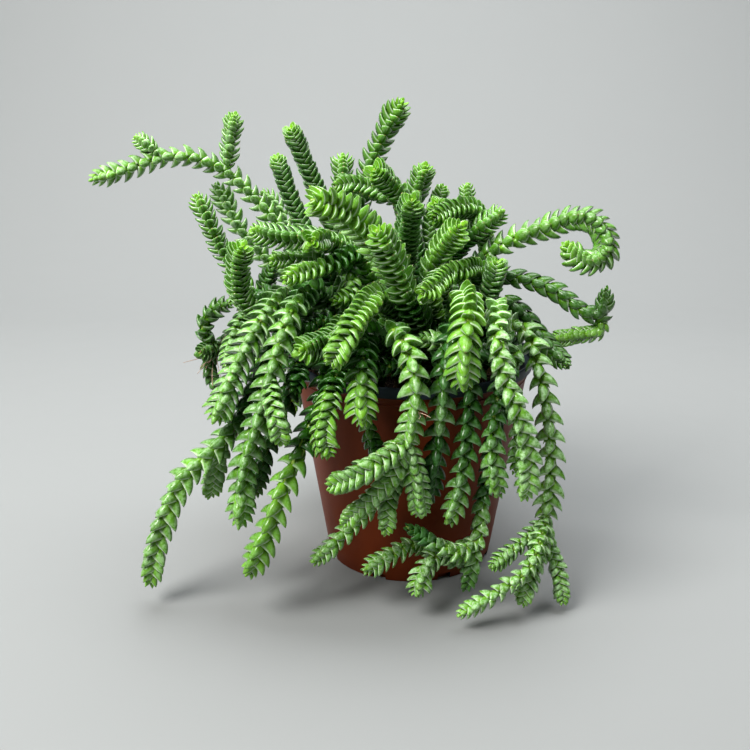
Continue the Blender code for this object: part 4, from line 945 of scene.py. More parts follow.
def leaf_look():
    """Fleshy leaves: green with a waxy bloom, yellow-green where they are young and at their bases, with pale
    margins and keels and small dark tips. The bases are brightened as painted light shining through them, the
    wax, pores, margins and keels are whitened as painted highlights, and leaves deep among other stems are
    darkened as painted shade."""
    look = Look("leaf_flesh", Subsurface_Weight=0.12, Subsurface_Radius=(0.5, 1.0, 0.2),
                Subsurface_Scale=0.0012, Specular_IOR_Level=0.17, Coat_Weight=0.34, Coat_Roughness=0.15)
    along, across, fresh, chance = look.stored("leaf_place")
    bloom, dark, core, inner = look.stored("leaf_tone")
    place = look.place()
    wax = wax_share(look, place, bloom, along, inner)
    green = flesh_green(look, place, fresh, wax)
    # Yellow-green leaf bases, brightened as painted light shining through them
    green = look.mix(look.ramp(along, 0.0, 0.42, 0.65, 0.0), green, BASE_GREEN_AND_GLOW)
    green = edged(look, green, along, across)
    # Dry tips on some leaves
    dry = look.maths("MULTIPLY", look.ramp(along, 0.90, 1.0), look.ramp(chance, 0.45, 0.7, 0.0, 0.8))
    green = look.mix(dry, green, DRY_TIP)
    # The stem between the leaves
    green = look.mix(core, green, look.mix(bloom, YOUNG_STEM, WOODY_STEM))
    # Each leaf a little lighter or darker at random, and darkened towards a purer green by painted shade
    # among other stems and by its stem's dark tone
    light = look.ramp(chance, 0.0, 1.0, 0.82, 1.12)
    shades = [look.maths("MULTIPLY", light, look.ramp(dark, 0.0, 1.0, 1.0, least)) for least in DEEPEST_SHADE]
    colour = look.mix(1.0, green, look.node("CombineColor", *shades).outputs[0], "MULTIPLY")
    roughness = look.ramp(wax, 0.0, 1.0, 0.27, 0.46)
    return look.finish(colour, roughness, look.noise(place, 3200.0, 2.0), 0.35, 0.00006)


def wax_share(look, place, bloom, along, inner):
    """How much wax lies on a leaf, in patches that are thickest on its outside and away from its base."""
    patches = look.ramp(look.noise(place, 700.0, 4.0, 0.65), 0.38, 0.64, 0.02, 0.95)
    wax = look.maths("MULTIPLY", bloom, patches)
    wax = look.maths("MULTIPLY", wax, look.ramp(inner, 0.0, 1.0, 1.0, 0.6))
    return look.maths("MULTIPLY", wax, look.ramp(along, 0.10, 0.45, 0.2, 1.0))


def flesh_green(look, place, fresh, wax):
    """Flesh from deep to fresh with cloudy variation, under wax and fine pale pores, both whitened further as
    painted highlights.
    """
    green = look.mix(fresh, DEEP_GREEN, FRESH_GREEN)
    green = look.mix(look.ramp(look.noise(place, 260.0, 3.0), 0.35, 0.7, 0.0, 0.35), green, CLOUD_GREEN)
    # Waxy bloom, its colour whitened to stand in for highlights as well
    green = look.mix(wax, green, WAX_AND_HIGHLIGHT)
    # Fine pale pores, which also serve as painted glints
    pores = look.ramp(look.node("TexVoronoi", place, None, 3000.0).outputs["Distance"], 0.18, 0.32, 0.7, 0.0)
    pores = look.maths("MULTIPLY", pores, look.ramp(wax, 0.0, 0.5, 0.22, 1.0))
    return look.mix(pores, green, PORE_AND_GLINT)


def edged(look, green, along, across):
    """The green with lighter sides, pale margins whitened further as a painted highlight, and a pale keel
    line that is a painted highlight.
    """
    edge = look.maths("ABSOLUTE", look.maths("SUBTRACT", across, 0.5))
    green = look.mix(look.ramp(edge, 0.12, 0.46, 0.0, 0.30), green, EDGE_GREEN)
    # Pale margins, whitened further as a painted highlight along the leaf's edges
    green = look.mix(look.ramp(edge, 0.43, 0.50, 0.0, 0.68), green, PALE_MARGIN_AND_HIGHLIGHT)
    # A pale line down the keel: a painted highlight
    keel = look.maths("MULTIPLY", look.ramp(edge, 0.0, 0.10, 0.22, 0.0), look.ramp(along, 0.3, 0.9))
    return look.mix(keel, green, KEEL_HIGHLIGHT)


def pot_look(name, colour, worn):
    """Thin moulded plastic with fine grain, upright streaks and scuffs."""
    look = Look(name, Specular_IOR_Level=0.10)
    place = look.place()
    stretched = look.node("Mapping", place, None, None, (1.0, 1.0, 0.12), vector_type="POINT").outputs[0]
    streaks = look.noise(stretched, 140.0, 4.0, 0.6)
    clouds = look.noise(place, 38.0, 4.0, 0.6)
    tone = look.mix(look.ramp(streaks, 0.35, 0.75, 0.0, 0.30), colour, tuple(0.62 * c for c in colour))
    tone = look.mix(look.ramp(clouds, 0.45, 0.75, 0.0, 0.40), tone, worn)
    scuffs = look.ramp(look.noise(place, 420.0, 6.0, 0.7), 0.62, 0.75, 0.0, 0.22)
    tone = look.mix(scuffs, tone, tuple(min(1.0, 1.9 * c + 0.02) for c in worn))
    grain = look.noise(place, 2400.0, 3.0)
    return look.finish(tone, look.ramp(clouds, 0.3, 0.8, 0.40, 0.60), grain, 0.25, 0.00008)


def soil_look():
    """Dark crumbly mix, with each chip of its own brown."""
    look = Look("mix_crumb", Specular_IOR_Level=0.25)
    lightness, pale, _, _ = look.stored("chip")
    place = look.place()
    clouds = look.noise(place, 320.0, 5.0, 0.65)
    tone = look.mix(lightness, DARK_CRUMB, LIGHT_CRUMB)
    tone = look.mix(look.ramp(clouds, 0.4, 0.8, 0.0, 0.5), tone, DAMP_CRUMB)
    tone = look.mix(pale, tone, PALE_GRAIN)
    grain = look.noise(place, 1500.0, 4.0)
    return look.finish(tone, look.ramp(clouds, 0.3, 0.8, 0.85, 1.0), grain, 0.7, 0.0003)


def root_look():
    """Dry, pinkish-brown thread roots."""
    look = Look("root_thread", Specular_IOR_Level=0.3)
    place = look.place()
    tone = look.mix(look.noise(place, 700.0, 3.0), DARK_ROOT, LIGHT_ROOT)
    return look.finish(tone, look.ramp(look.noise(place, 300.0), 0.3, 0.8, 0.5, 0.8),
                       look.noise(place, 2500.0, 3.0), 0.4, 0.0001)


def studio_look(name, colour):
    """Plain matt paper."""
    look = Look(name, Specular_IOR_Level=0.1)
    place = look.place()
    tone = look.mix(look.noise(place, 6.0, 3.0), tuple(0.985 * c for c in colour), colour)
    return look.finish(tone, look.ramp(look.noise(place, 30.0), 0.3, 0.8, 0.75, 0.85),
                       look.noise(place, 900.0, 2.0), 0.05, 0.0001)


def build(name, vertices, quads, triangles, material, **stored):
    """One smooth-shaded object of the given vertices (mm), with stored numbers, four a vertex, by name."""
    mesh = bpy.data.meshes.new(name)
    quads = np.asarray(quads, np.int32).reshape(-1, 4)
    triangles = np.asarray(triangles, np.int32).reshape(-1, 3)
    corners = np.concatenate([quads.ravel(), triangles.ravel()])
    sizes = np.concatenate([np.full(len(quads), 4), np.full(len(triangles), 3)])
    mesh.vertices.add(len(vertices))
    mesh.vertices.foreach_set("co", (np.asarray(vertices, float) * MM).astype(np.float32).ravel())
    mesh.loops.add(len(corners))
    mesh.loops.foreach_set("vertex_index", corners)
    mesh.polygons.add(len(sizes))
    mesh.polygons.foreach_set("loop_start", np.concatenate([[0], np.cumsum(sizes)[:-1]]).astype(np.int32))
    mesh.polygons.foreach_set("use_smooth", np.ones(len(sizes), bool))
    for key, numbers in stored.items():
        layer = mesh.attributes.new(key, "FLOAT_COLOR", "POINT")
        layer.data.foreach_set("color", np.asarray(numbers, np.float32).ravel())
    mesh.update(calc_edges=True)
    mesh.validate()
    mesh.materials.append(material)
    made = bpy.data.objects.new(name, mesh)
    bpy.context.scene.collection.objects.link(made)
    return made


class Parts:
    """Vertices, faces and stored numbers, gathered piece by piece for one mesh."""

    def __init__(self):
        self.count = 0
        self.vertices, self.quads, self.triangles, self.first, self.second = [], [], [], [], []

    def add(self, vertices, quads, triangles, first, second):
        """Adds one piece, with its first and second four stored numbers a vertex."""
        self.quads.append(np.asarray(quads).reshape(-1, 4) + self.count)
        self.triangles.append(np.asarray(triangles).reshape(-1, 3) + self.count)
        self.vertices.append(vertices)
        self.first.append(first)
        self.second.append(second)
        self.count += len(vertices)

    def joined(self):
        """Everything that was added, as one mesh's vertices, faces and stored numbers."""
        return tuple(np.concatenate(each) for each in
                     (self.vertices, self.quads, self.triangles, self.first, self.second))


def pair_stops(shoot, total, source):
    """Lengths along a strand where its leaf pairs sit, closer and closer in its bud, from foot to tip."""
    start = BARE_LENGTH + FIRST_LEAF if shoot.parent is None else FORK_START
    usual = TIGHT_EXTRA + TIGHT_PITCHES * shoot.pitch, CROWDING
    crowded, power = LONG_BUDS.get(shoot.name, usual)
    stops = [total - BUD_REACH * shoot.reach]
    while stops[-1] > start:
        from_bud = min(1.0, (stops[0] - stops[-1]) / crowded)
        tight = TIGHTEST + (1 - TIGHTEST) * from_bud ** power
        stops.append(stops[-1] - shoot.pitch * tight * source.uniform(*PITCH_SPREAD))
    return np.array(stops[-2::-1])


def outward_share(first, last):
    """How far out a leaf's tip is, as a share of its length, when it bends from one angle to another."""
    first, last = np.radians(first), np.radians(last)
    return (np.cos(last) - np.cos(first)) / (first - last)


def shade_at(centres, node, taken):
    """How much other stems shade each spot from above and from outside, from 0 to 1."""
    spots, _, nodes = taken
    away = spots[nodes != node][None] - centres[:, None]
    distance = np.linalg.norm(away, axis=2)
    open_side = np.column_stack([centres[:, :2], np.zeros(len(centres))])
    open_side /= np.linalg.norm(open_side, axis=1)[:, None]
    open_side = SHADE_OUT * open_side + np.array((0.0, 0.0, SHADE_UP))
    facing = np.clip((away * open_side[:, None]).sum(axis=2) / distance, 0.0, None)
    cover = np.where(distance < SHADE_REACH, facing, 0.0).sum(axis=1)
    low, high = SHADE_LEVELS
    return np.clip((cover - low) / (high - low), 0.0, 1.0)


def leaf_batch(shoot, source, taken):
    """Every leaf of a strand: its place and directions, its sizes and angles, and how it is toned."""
    along = lengths_along(shoot.points)
    stops = pair_stops(shoot, along[-1], source)
    centres, forward, sides, fronts = frames_along(shoot, stops, along)
    pitches = np.gradient(stops) if shoot.name in LONG_BUDS else np.full(len(stops), shoot.pitch)
    pairs = {"centre": centres, "forward": forward, "rank": np.arange(len(stops))[::-1],
             "loose": np.clip((pitches - CLOSE_PITCH) / (LOOSE_PITCH - CLOSE_PITCH), 0.0, 1.0),
             "shade": shade_at(centres, shoot.node, taken)}
    reach = REACH_SHARE * shoot.reach_at(stops, along[-1] + 2 * TIP_RAMP)
    even = (np.arange(len(stops)) % 2 == 0)[:, None]
    batches = []
    for sign in (1, -1):
        batch = half_of_pairs(shoot, pairs, sign * np.where(even, sides, fronts), reach, source)
        batch["length"] = trimmed(batch, shoot.node, taken)
        batch["width"] = batch["length"] * width_share(shoot)
        batches.append(batch)
    return {key: np.concatenate([batch[key] for batch in batches]) for key in batches[0]}


def half_of_pairs(shoot, pairs, out, reach, source):
    """One leaf of each pair, with its directions, its angles and its full length."""
    count = len(out)
    rank = pairs["rank"]
    opened = np.clip((rank + OPEN_START) / BUD_PAIRS, 0.0, 1.0) ** OPENING
    grown = np.clip(YOUNGEST + GROWTH * rank, 0.0, 1.0)
    pressed = shoot.name in PRESSED
    full = PRESSED_ANGLES if pressed else [
        close + (wide - close) * pairs["loose"] for close, wide in zip(CLOSE_ANGLES, LOOSE_ANGLES)]
    swing = np.radians(source.normal(0.0, SWING_SPREAD, count))[:, None]
    out, beside = swung(out, np.cross(pairs["forward"], out), swing)
    angles = []
    for whole, bud in zip(full, BUD_ANGLES):
        spread = whole + source.normal(0.0, ANGLE_SPREAD, count)
        angles.append(np.radians(bud + (spread - bud) * opened))
    reach = reach * source.normal(1.0, REACH_SPREAD, count)
    length = (reach - LEAF_ROOT) / outward_share(*full) * grown * (PRESSED_LENGTH if pressed else 1.0)
    return {**pairs, "out": out, "beside": beside, "first": angles[0], "last": angles[1], "length": length,
            "chance": source.uniform(0.0, 1.0, count)}


def swung(out, beside, swing):
    """The outward and sideways directions turned about the stem by an angle."""
    return np.cos(swing) * out + np.sin(swing) * beside, np.cos(swing) * beside - np.sin(swing) * out


def width_share(shoot):
    """A strand's leaf width as a share of leaf length."""
    share = min(WIDEST, WIDTH - NARROWER * (shoot.reach - REACH_OF_WIDTH))
    return share * BROADER.get(shoot.name, 1.0)


def tips_of(batch, length):
    """Where the leaves' tips are."""
    turn = batch["last"] - batch["first"]
    out = LEAF_ROOT + length * (np.cos(batch["first"]) - np.cos(batch["last"])) / turn
    on = length * (np.sin(batch["last"]) - np.sin(batch["first"])) / turn
    return batch["centre"] + batch["out"] * out[:, None] + batch["forward"] * on[:, None]


def trimmed(batch, node, taken):
    """The leaves' lengths, shorter where they would reach another stem."""
    length = batch["length"] * LEAF_SHARES[0]
    for share in LEAF_SHARES[1:]:
        free = is_free(tips_of(batch, batch["length"] * share), node, taken)
        length = np.where(free, batch["length"] * share, length)
    return length


def leaf_sizes(batch, s):
    """The leaves' widths and depths at shares of their lengths."""
    loose = batch["loose"][:, None]
    blunt = (1 - s) ** (TAPER + LOOSE_TAPER * loose)
    base = BASE_DEPTH + (LOOSE_BASE_DEPTH - BASE_DEPTH) * loose
    width = batch["width"][:, None] * FULLEST * blunt * (BASE_WIDTH + s)
    depth = batch["width"][:, None] * (1 - s) ** DEPTH_TAPER * (base + (TIP_DEPTH - base) * s)
    return width, depth


def leaf_body(batch, s, turns):
    """Each leaf's rings of points, and its tip: a midrib that bends, cupped inside and keeled outside."""
    first = batch["first"][:, None]
    turn = batch["last"][:, None] - first
    angle = first + turn * s
    length = batch["length"][:, None]
    out_by = LEAF_ROOT + length * (np.cos(first) - np.cos(angle)) / turn
    on_by = length * (np.sin(angle) - np.sin(first)) / turn
    out, forward, beside = (batch[key][:, None] for key in ("out", "forward", "beside"))
    midrib = batch["centre"][:, None] + out * out_by[..., None] + forward * on_by[..., None]
    inward = forward * np.sin(angle)[..., None] - out * np.cos(angle)[..., None]
    width, depth = leaf_sizes(batch, s)
    sine = np.sin(turns)
    flesh = np.where(sine > 0, FLESH_IN * sine, -FLESH_OUT * np.abs(sine) ** FLESH_POWER)
    flesh = flesh * np.where(sine < -0.99, KEEL, 1.0)
    level = depth[..., None] * flesh + width[..., None] * CUP * np.cos(turns) ** 2
    level = level - width[..., None] * CUP * 0.5
    wide = 0.5 * width[..., None] * np.cos(turns)
    points = (midrib[:, :-1, None] + beside[:, :, None] * wide[:, :-1, :, None]
              + inward[:, :-1, None] * level[:, :-1, :, None])
    return points, midrib[:, -1:]


def leaf_points(batch, rings, sides, tone):
    """Closed leaves: vertices, faces and stored numbers."""
    s = np.array(rings + (1.0,))
    turns = 2 * np.pi * np.arange(sides) / sides
    points, tips = leaf_body(batch, s, turns)
    count = len(tips)
    body = len(rings) * sides
    vertices = np.concatenate([points.reshape(count, body, 3), tips], axis=1)
    quads, triangles = leaf_faces(len(rings), sides)
    start = (np.arange(count) * (body + 1))[:, None, None]
    place = np.zeros((count, body + 1, 4))
    place[:, :-1, 0] = np.repeat(s[:-1], sides)
    place[:, -1, 0] = 1.0
    place[:, :-1, 1] = np.tile(0.5 + 0.5 * np.cos(turns), len(rings))
    place[:, -1, 1] = 0.5
    place[..., 2] = tone["fresh"][:, None]
    place[..., 3] = batch["chance"][:, None]
    extra = np.zeros((count, body + 1, 4))
    extra[..., 0] = tone["bloom"][:, None]
    extra[..., 1] = tone["dark"][:, None]
    extra[:, :-1, 3] = np.tile(np.clip(np.sin(turns), 0.0, 1.0), len(rings))
    return (vertices.reshape(-1, 3), quads + start, triangles + start, place.reshape(-1, 4),
            extra.reshape(-1, 4))


def ring_quads(rings, sides, first=0):
    """Faces between rings of points, which follow each other from the first point on."""
    quads = []
    for ring in range(rings - 1):
        for side in range(sides):
            low = first + ring * sides + side
            low_next = first + ring * sides + (side + 1) % sides
            quads.append((low, low_next, low_next + sides, low + sides))
    return np.array(quads)


def fan(ring, sides, point):
    """Triangles from a ring's points to one point beyond its end."""
    return np.array([(ring + side, ring + (side + 1) % sides, point) for side in range(sides)])


def leaf_faces(rings, sides):
    """Faces of one closed leaf: rings of points, a point at the tip and a flat base."""
    base = [(0, 2 * k + 3, 2 * k + 2, 2 * k + 1) for k in range((sides - 2) // 2)]
    return np.vstack([ring_quads(rings, sides), base]), fan((rings - 1) * sides, sides, rings * sides)


def tones(shoot, rank, shade):
    """How fresh, waxy and dark each leaf is, at least as dark as its painted shade. Young leaves are fresher,
    and cleaner of wax.
    """
    fresh, bloom, dark = TONE_OF.get(shoot.name, USUAL_TONE)
    youth = AGED_YOUTH if shoot.name in AGED else 1.0
    if shoot.parent is not None and shoot.name in FORK_TONES:
        fresh, bloom, dark = FORK_TONES[shoot.name]
        youth = 1.0
    young = youth * np.clip(1 - rank / YOUNG_PAIRS, 0.0, 1.0)
    return {"fresh": fresh + (YOUNG_FRESH - fresh) * young, "bloom": bloom * (1 - YOUNG_BLOOM * young),
            "dark": np.maximum(dark * (1 - young), DEEPEST * shade)}


def core_tube(shoot):
    """The stem itself, from its foot or fork to inside its bud."""
    along = lengths_along(shoot.points)
    total = along[-1]
    stops = np.linspace(0.0, total - CORE_TIP * shoot.reach, max(4, int(total / CORE_SPACING)))
    centres, _, across, front = frames_along(shoot, stops, along)
    thinned = np.clip((total - stops) / CORE_TIP_RAMP, CORE_TIP_SHARE, 1.0)
    radius = np.clip(CORE_SHARE * shoot.reach, *CORE_RADII) * thinned
    woody = np.zeros(len(stops))
    if shoot.parent is None:
        bare = np.clip((BARE_LENGTH + BARE_FADE - stops) / BARE_RAMP, 0.0, 1.0)
        radius = radius + (STEM_FOOT_RADIUS - 0.1 - radius) * bare
        woody = np.clip((BARE_LENGTH + WOODY_FADE - stops) / WOODY_RAMP, 0.0, 1.0)
    vertices, quads, triangles = tube(centres, across, front, radius, CORE_SIDES)
    place = np.zeros((len(vertices), 4))
    place[:, 3] = 0.5
    extra = np.zeros((len(vertices), 4))
    extra[:, 0] = np.concatenate([np.repeat(woody, CORE_SIDES), [woody[0], woody[-1]]])
    extra[:, 2] = 1.0
    return vertices, quads, triangles, place, extra


def tube(centres, across, front, radius, sides):
    """A closed tube round the centres."""
    turns = 2 * np.pi * np.arange(sides) / sides
    ring = (across[:, None] * np.cos(turns)[:, None] + front[:, None] * np.sin(turns)[:, None])
    points = centres[:, None] + ring * radius[:, None, None]
    vertices = np.concatenate([points.reshape(-1, 3), centres[:1], centres[-1:]])
    foot = len(centres) * sides
    ends = np.vstack([fan(0, sides, foot)[:, ::-1], fan(foot - sides, sides, foot + 1)])
    return vertices, ring_quads(len(centres), sides), ends


def leaflets(batch, source):
    """Small young leaves in the axils of some of a loose strand's leaves."""
    chosen = source.uniform(0.0, 1.0, len(batch["length"])) < LEAFLET_CHANCE
    chosen &= batch["rank"] > LEAFLET_RANK
    small = {key: value[chosen] for key, value in batch.items()}
    count = int(chosen.sum())
    small["centre"] = small["centre"] + small["forward"] * LEAFLET_RISE
    swing = np.radians(source.uniform(-LEAFLET_SWING, LEAFLET_SWING, count))[:, None]
    small["out"], small["beside"] = swung(small["out"], small["beside"], swing)
    small["first"] = np.radians(source.uniform(*LEAFLET_FIRST, count))
    small["last"] = np.radians(source.uniform(*LEAFLET_LAST, count))
    small["length"] = small["length"] * source.uniform(*LEAFLET_LENGTHS, count)
    small["width"] = small["length"] * LEAFLET_WIDTH
    small["chance"] = np.full(count, LEAFLET_LIGHTNESS)
    tone = {"fresh": np.full(count, LEAFLET_FRESH), "bloom": np.full(count, LEAFLET_BLOOM),
            "dark": LEAFLET_SHADE * small["shade"]}
    return small, tone


def dress_stem(node, shoots, taken, flesh):
    """One leafy stem with its branches, as fine as life."""
    parts = Parts()
    for number, shoot in enumerate(shoots):
        if shoot.node != node:
            continue
        source = np.random.default_rng(LEAF_SEED + number)
        batch = leaf_batch(shoot, source, taken)
        loose = np.median(batch["loose"])
        parts.add(*core_tube(shoot))
        fine = (LOOSE_RINGS, LOOSE_SIDES) if loose > FINE_FROM else (CLOSE_RINGS, CLOSE_SIDES)
        parts.add(*leaf_points(batch, *fine, tones(shoot, batch["rank"], batch["shade"])))
        if loose > LEAFLETS_FROM:
            small, tone = leaflets(batch, source)
            parts.add(*leaf_points(small, LEAFLET_RINGS, LEAFLET_SIDES, tone))
    vertices, quads, triangles, place, extra = parts.joined()
    piece = build(node + "_leafy", vertices, quads, triangles, flesh, leaf_place=place, leaf_tone=extra)
    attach(piece, "root")
    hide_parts(node)


def thread_tube(start, heading, source):
    """One thread root that bends away from where it starts."""
    way = np.array(heading) + source.normal(0.0, THREAD_SPREAD, 3)
    way /= np.linalg.norm(way)
    bend = source.normal(0.0, THREAD_BEND, 3)
    length = source.uniform(*THREAD_LENGTHS)
    course = [start + length * (way * t + bend * t * t) for t in THREAD_STOPS]
    centres = smooth_curve(course, THREAD_SPACING)
    forward = np.gradient(centres, axis=0)
    across = np.cross(forward, (0.0, 1.0, 0.1))
    across /= np.linalg.norm(across, axis=1)[:, None]
    front = np.cross(across, forward)
    front /= np.linalg.norm(front, axis=1)[:, None]
    radius = THREAD_RADIUS * np.linspace(1.0, THREAD_TIP, len(centres))
    return tube(centres, across, front, radius, THREAD_SIDES)


def dress_threads(shoots):
    """Thread roots that hang from stems where they branch."""
    source = np.random.default_rng(THREAD_SEED)
    parts = Parts()
    for node, share, count, heading in THREADS:
        points = next(shoot.points for shoot in shoots if shoot.node == node)
        start = points[int(share * (len(points) - 1))]
        for _ in range(count):
            tubes = thread_tube(start, heading, source)
            blank = np.zeros((len(tubes[0]), 4))
            parts.add(*tubes, blank, blank)
    vertices, quads, triangles, _, _ = parts.joined()
    piece = build("thread_roots", vertices, quads, triangles, root_look())
    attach(piece, "root")


def add_object(name, vertices, faces, *materials):
    """One smooth-shaded object of the given vertices (mm) and faces."""
    mesh = bpy.data.meshes.new(name)
    mesh.from_pydata([tuple(v) for v in np.asarray(vertices, float) * MM], [], faces)
    for material in materials:
        mesh.materials.append(material)
    mesh.shade_smooth()
    made = bpy.data.objects.new(name, mesh)
    bpy.context.scene.collection.objects.link(made)
    return made


def pot_profile():
    """The pot's turned section, from the middle of its underside out, up, over the lip and down inside."""
    foot = [(0.0, 0.7), (FOOT_RADIUS - 4.0, 0.7), (FOOT_RADIUS - 3.4, 0.0), (FOOT_RADIUS - 0.6, 0.0),
            (FOOT_RADIUS - 0.15, 0.15), (wall_radius(0.6), 0.6)]
    wall = [(wall_radius(height), height) for height in (8.0, 24.0, 40.0, 56.0, WALL_TOP - 3.2)]
    line = WALL_TOP - 2.4
    seam = [(wall_radius(line) + out, line + up) for out, up in ((0.0, -0.3), (0.28, 0.0), (0.0, 0.3))]
    step = [(WALL_TOP_RADIUS - 0.05, WALL_TOP - 0.5), (WALL_TOP_RADIUS + 0.1, WALL_TOP - 0.1),
            (WALL_TOP_RADIUS + 0.5, WALL_TOP + 0.25), (LIP_RADIUS - 0.8, LIP_FOOT - 0.25),
            (LIP_RADIUS - 0.38, LIP_FOOT), (LIP_RADIUS - 0.25, LIP_FOOT + 0.4)]
    inner = LIP_RADIUS - WALL
    lip = [(LIP_RADIUS, POT_HEIGHT - 0.6), (LIP_RADIUS - 0.05, POT_HEIGHT - 0.25),
           (LIP_RADIUS - 0.25, POT_HEIGHT), (inner + 0.25, POT_HEIGHT), (inner + 0.05, POT_HEIGHT - 0.25),
           (inner, POT_HEIGHT - 0.6)]
    inside = [(inner - 0.3, LIP_FOOT + WALL), (WALL_TOP_RADIUS - WALL, WALL_TOP + 0.6),
              (WALL_TOP_RADIUS - WALL - 0.1, WALL_TOP - 0.4), (wall_radius(FLOOR) - WALL, FLOOR),
              (0.0, FLOOR)]
    return foot + wall + seam + step + lip + inside


def drain_cutter():
    """Boxes across the foot's corner, one for each drainage cut-out."""
    deep, wide, tall = DRAIN_SIZE
    vertices, faces = [], []
    for number in range(DRAIN_COUNT):
        angle = 2 * math.pi * (number + 0.5) / DRAIN_COUNT
        outward = np.array((math.cos(angle), math.sin(angle), 0.0))
        sideways = np.array((-math.sin(angle), math.cos(angle), 0.0))
        middle = outward * (FOOT_RADIUS + 0.5)
        a = len(vertices)
        for rise in (-tall / 2, tall / 2):
            for out, side in ((-1, -1), (1, -1), (1, 1), (-1, 1)):
                vertices.append(middle + outward * out * deep / 2 + sideways * side * wide / 2 + (0, 0, rise))
        faces += [(a, a + 3, a + 2, a + 1), (a + 4, a + 5, a + 6, a + 7)]
        faces += [(a + k, a + (k + 1) % 4, a + 4 + (k + 1) % 4, a + 4 + k) for k in range(4)]
    return add_object("drain_cutter", vertices, faces)


def dress_pot():
    """The pot: red-brown outside, and black inside and round its lip, the black tinted blue-grey as a painted
    sheen.
    """
    brown = pot_look("pot_red_brown", POT_BROWN, WORN_BROWN)
    black = pot_look("pot_black_and_sheen", POT_BLACK_AND_SHEEN, WORN_BLACK)
    pot = add_object("pot_shell", *turned(pot_profile(), POT_SIDES), brown, black)
    cutter = drain_cutter()
    step = pot.modifiers.new("drains", "BOOLEAN")
    step.operation, step.solver, step.object = "DIFFERENCE", "EXACT", cutter
    bpy.context.view_layer.update()
    shaped = bpy.data.meshes.new_from_object(pot.evaluated_get(bpy.context.evaluated_depsgraph_get()))
    pot.modifiers.clear()
    pot.data = shaped
    bpy.data.objects.remove(cutter, do_unlink=True)
    for face in shaped.polygons:
        x, y, z = face.center / MM
        out = math.hypot(x, y)
        inside = z > BLACK_FLOOR and out < wall_radius(z) - BLACK_DEPTH
        face.material_index = int(z > WALL_TOP + BLACK_RISE or inside)
        face.use_smooth = True
    shaped.set_sharp_from_angle(angle=POT_CREASE)
    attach(pot, "root")
    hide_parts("pot")


def chip_points(source, place, size):
    """A rough crumb or sliver of bark: a squashed and turned eight-cornered lump."""
    corners = np.array([(x, y, z) for z in (-1, 1) for x, y in ((-1, -1), (1, -1), (1, 1), (-1, 1))], float)
    corners *= source.uniform(*CHIP_ROUGHNESS, (8, 3)) * (size * np.array(CHIP_SHAPE))
    turn = source.uniform(0.0, 2 * math.pi)
    tilt = source.normal(0.0, CHIP_TILT)
    spun = np.column_stack([corners[:, 0] * math.cos(turn) - corners[:, 1] * math.sin(turn),
                            corners[:, 0] * math.sin(turn) + corners[:, 1] * math.cos(turn), corners[:, 2]])
    spun[:, 2] += spun[:, 0] * tilt
    return spun + place


def mix_ring(out, count):
    """Places on one ring about the pot's axis."""
    turns = [2 * math.pi * side / count for side in range(count)]
    return [(out * math.cos(angle), out * math.sin(angle)) for angle in turns]


def mix_heap(edge):
    """The mix as one crumbly heap: vertices, and faces from its middle out, down the wall and under it."""
    vertices = [(0.0, 0.0, MIX_TOP)]
    for ring in range(1, MIX_RINGS + 1):
        share = ring / MIX_RINGS
        for x, y in mix_ring(edge * ring / MIX_RINGS, MIX_SIDES):
            lump = noise.fractal(Vector((x, y, 0.0)) * LUMP_SCALE, *LUMP_NOISE)
            vertices.append((x, y, MIX_TOP - MIX_DROP + MIX_LUMPS * lump - EDGE_DROP * share ** 6))
    foot = FLOOR + FIT
    first = len(vertices)
    vertices += [(x, y, foot) for x, y in mix_ring(wall_radius(foot) - WALL - FIT, MIX_SIDES)]
    vertices.append((0.0, 0.0, foot))
    ends = np.vstack([fan(1, MIX_SIDES, 0), fan(first, MIX_SIDES, len(vertices) - 1)[:, ::-1]])
    return np.array(vertices), ring_quads(MIX_RINGS + 1, MIX_SIDES, 1)[:, TURNED_OVER], ends


def add_chips(parts, edge):
    """Loose chips of bark on the heap, and a few pale grains."""
    source = np.random.default_rng(CHIP_SEED)
    for _ in range(CHIP_COUNT):
        out = (edge - CHIP_EDGE) * math.sqrt(source.uniform())
        angle = source.uniform(0.0, 2 * math.pi)
        pale = source.uniform() < GRAIN_CHANCE
        size = source.uniform(*(GRAIN_SIZES if pale else CHIP_SIZES))
        height = MIX_TOP - CHIP_SINK + source.uniform(*CHIP_RISE)
        spot = np.array((out * math.cos(angle), out * math.sin(angle), height))
        tone = np.tile((source.uniform(0.0, 1.0), float(pale), 0.0, 1.0), (8, 1))
        parts.add(chip_points(source, spot, size), BOX_FACES, np.zeros((0, 3), int), tone, tone)


def dress_mix():
    """The potting mix: a crumbly heap with loose chips of bark on it and a few pale grains."""
    edge = wall_radius(MIX_TOP) - WALL - FIT
    vertices, quads, triangles = mix_heap(edge)
    tone = np.zeros((len(vertices), 4))
    tone[:, 0] = HEAP_LIGHTNESS
    parts = Parts()
    parts.add(vertices, quads, triangles, tone, tone)
    add_chips(parts, edge)
    points, quads, triangles, chip, _ = parts.joined()
    mix = build("mix_crumbs", points, quads, triangles, soil_look(), chip=chip)
    mix.data.set_sharp_from_angle(angle=MIX_CREASE)
    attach(mix, "root")
    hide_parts("potting_mix")


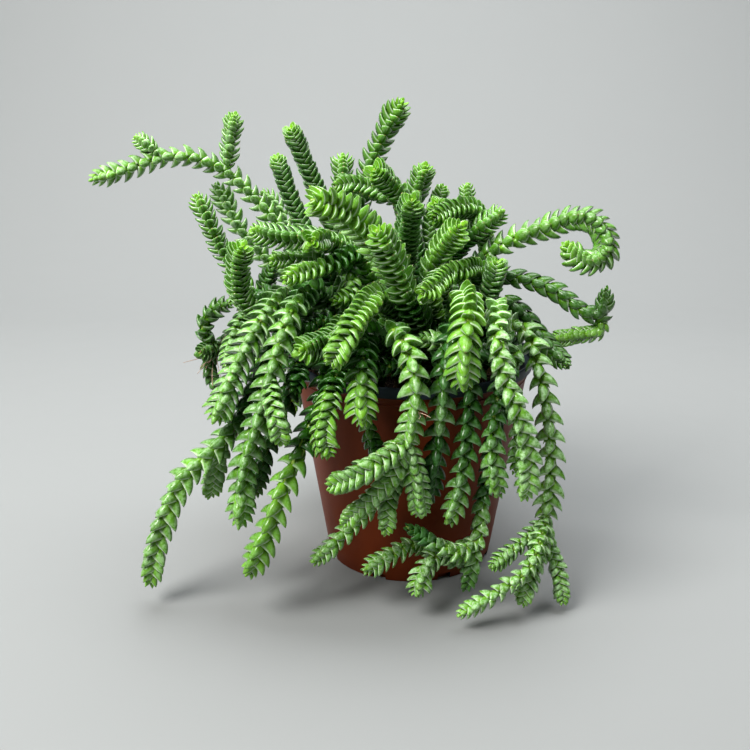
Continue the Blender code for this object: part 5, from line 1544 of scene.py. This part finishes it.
def add_camera():
    """The camera, at the spot that the stems' routes were sighted from."""
    camera = bpy.data.objects.new("view", bpy.data.cameras.new("view"))
    camera.data.lens = LENS
    camera.location = EYE * MM
    camera.rotation_euler = (math.radians(90.0) - DIP, 0.0, 0.0)
    camera.data.clip_start = CLIP_START
    bpy.context.scene.collection.objects.link(camera)
    bpy.context.scene.camera = camera


def add_light(name, place, size, power, colour, target):
    """A square soft light that faces a target."""
    lamp = bpy.data.lights.new(name, "AREA")
    lamp.size = size
    lamp.energy = power
    lamp.color = colour
    made = bpy.data.objects.new(name, lamp)
    made.location = place
    made.rotation_euler = (Vector(target) - Vector(place)).to_track_quat("-Z", "Y").to_euler()
    bpy.context.scene.collection.objects.link(made)


def add_studio():
    """A pale floor that curves up into a backdrop, soft lights and a dim sky."""
    rows = [(PAPER_FRONT, 0.0), (CURVE_START, 0.0)]
    rows += [(CURVE_START + CURVE_RADIUS * math.sin(turn), CURVE_RADIUS - CURVE_RADIUS * math.cos(turn))
             for turn in np.linspace(*CURVE_TURNS)]
    rows.append((PAPER_BACK, PAPER_TOP))
    vertices = [(x / MM, y / MM, z / MM) for y, z in rows for x in (-PAPER_HALF, PAPER_HALF)]
    faces = [(2 * k, 2 * k + 1, 2 * k + 3, 2 * k + 2) for k in range(len(rows) - 1)]
    add_object("studio_floor", vertices, faces, studio_look("studio_paper", PAPER))
    for light in LIGHTS:
        add_light(*light)
    world = bpy.data.worlds.new("studio_sky")
    world.use_nodes = True
    sky = world.node_tree.nodes["Background"]
    sky.inputs["Color"].default_value = SKY_COLOUR
    sky.inputs["Strength"].default_value = SKY_STRENGTH
    bpy.context.scene.world = world
    bpy.context.scene.view_settings.view_transform = "Standard"


def main():
    """The studio, then the pot, the mix and each leafy stem."""
    add_camera()
    add_studio()
    shoots = all_shoots()
    settle(shoots)
    taken = taken_space(shoots)
    dress_pot()
    dress_mix()
    flesh = leaf_look()
    for node in dict.fromkeys(shoot.node for shoot in shoots):
        dress_stem(node, shoots, taken, flesh)
    dress_threads(shoots)


main()
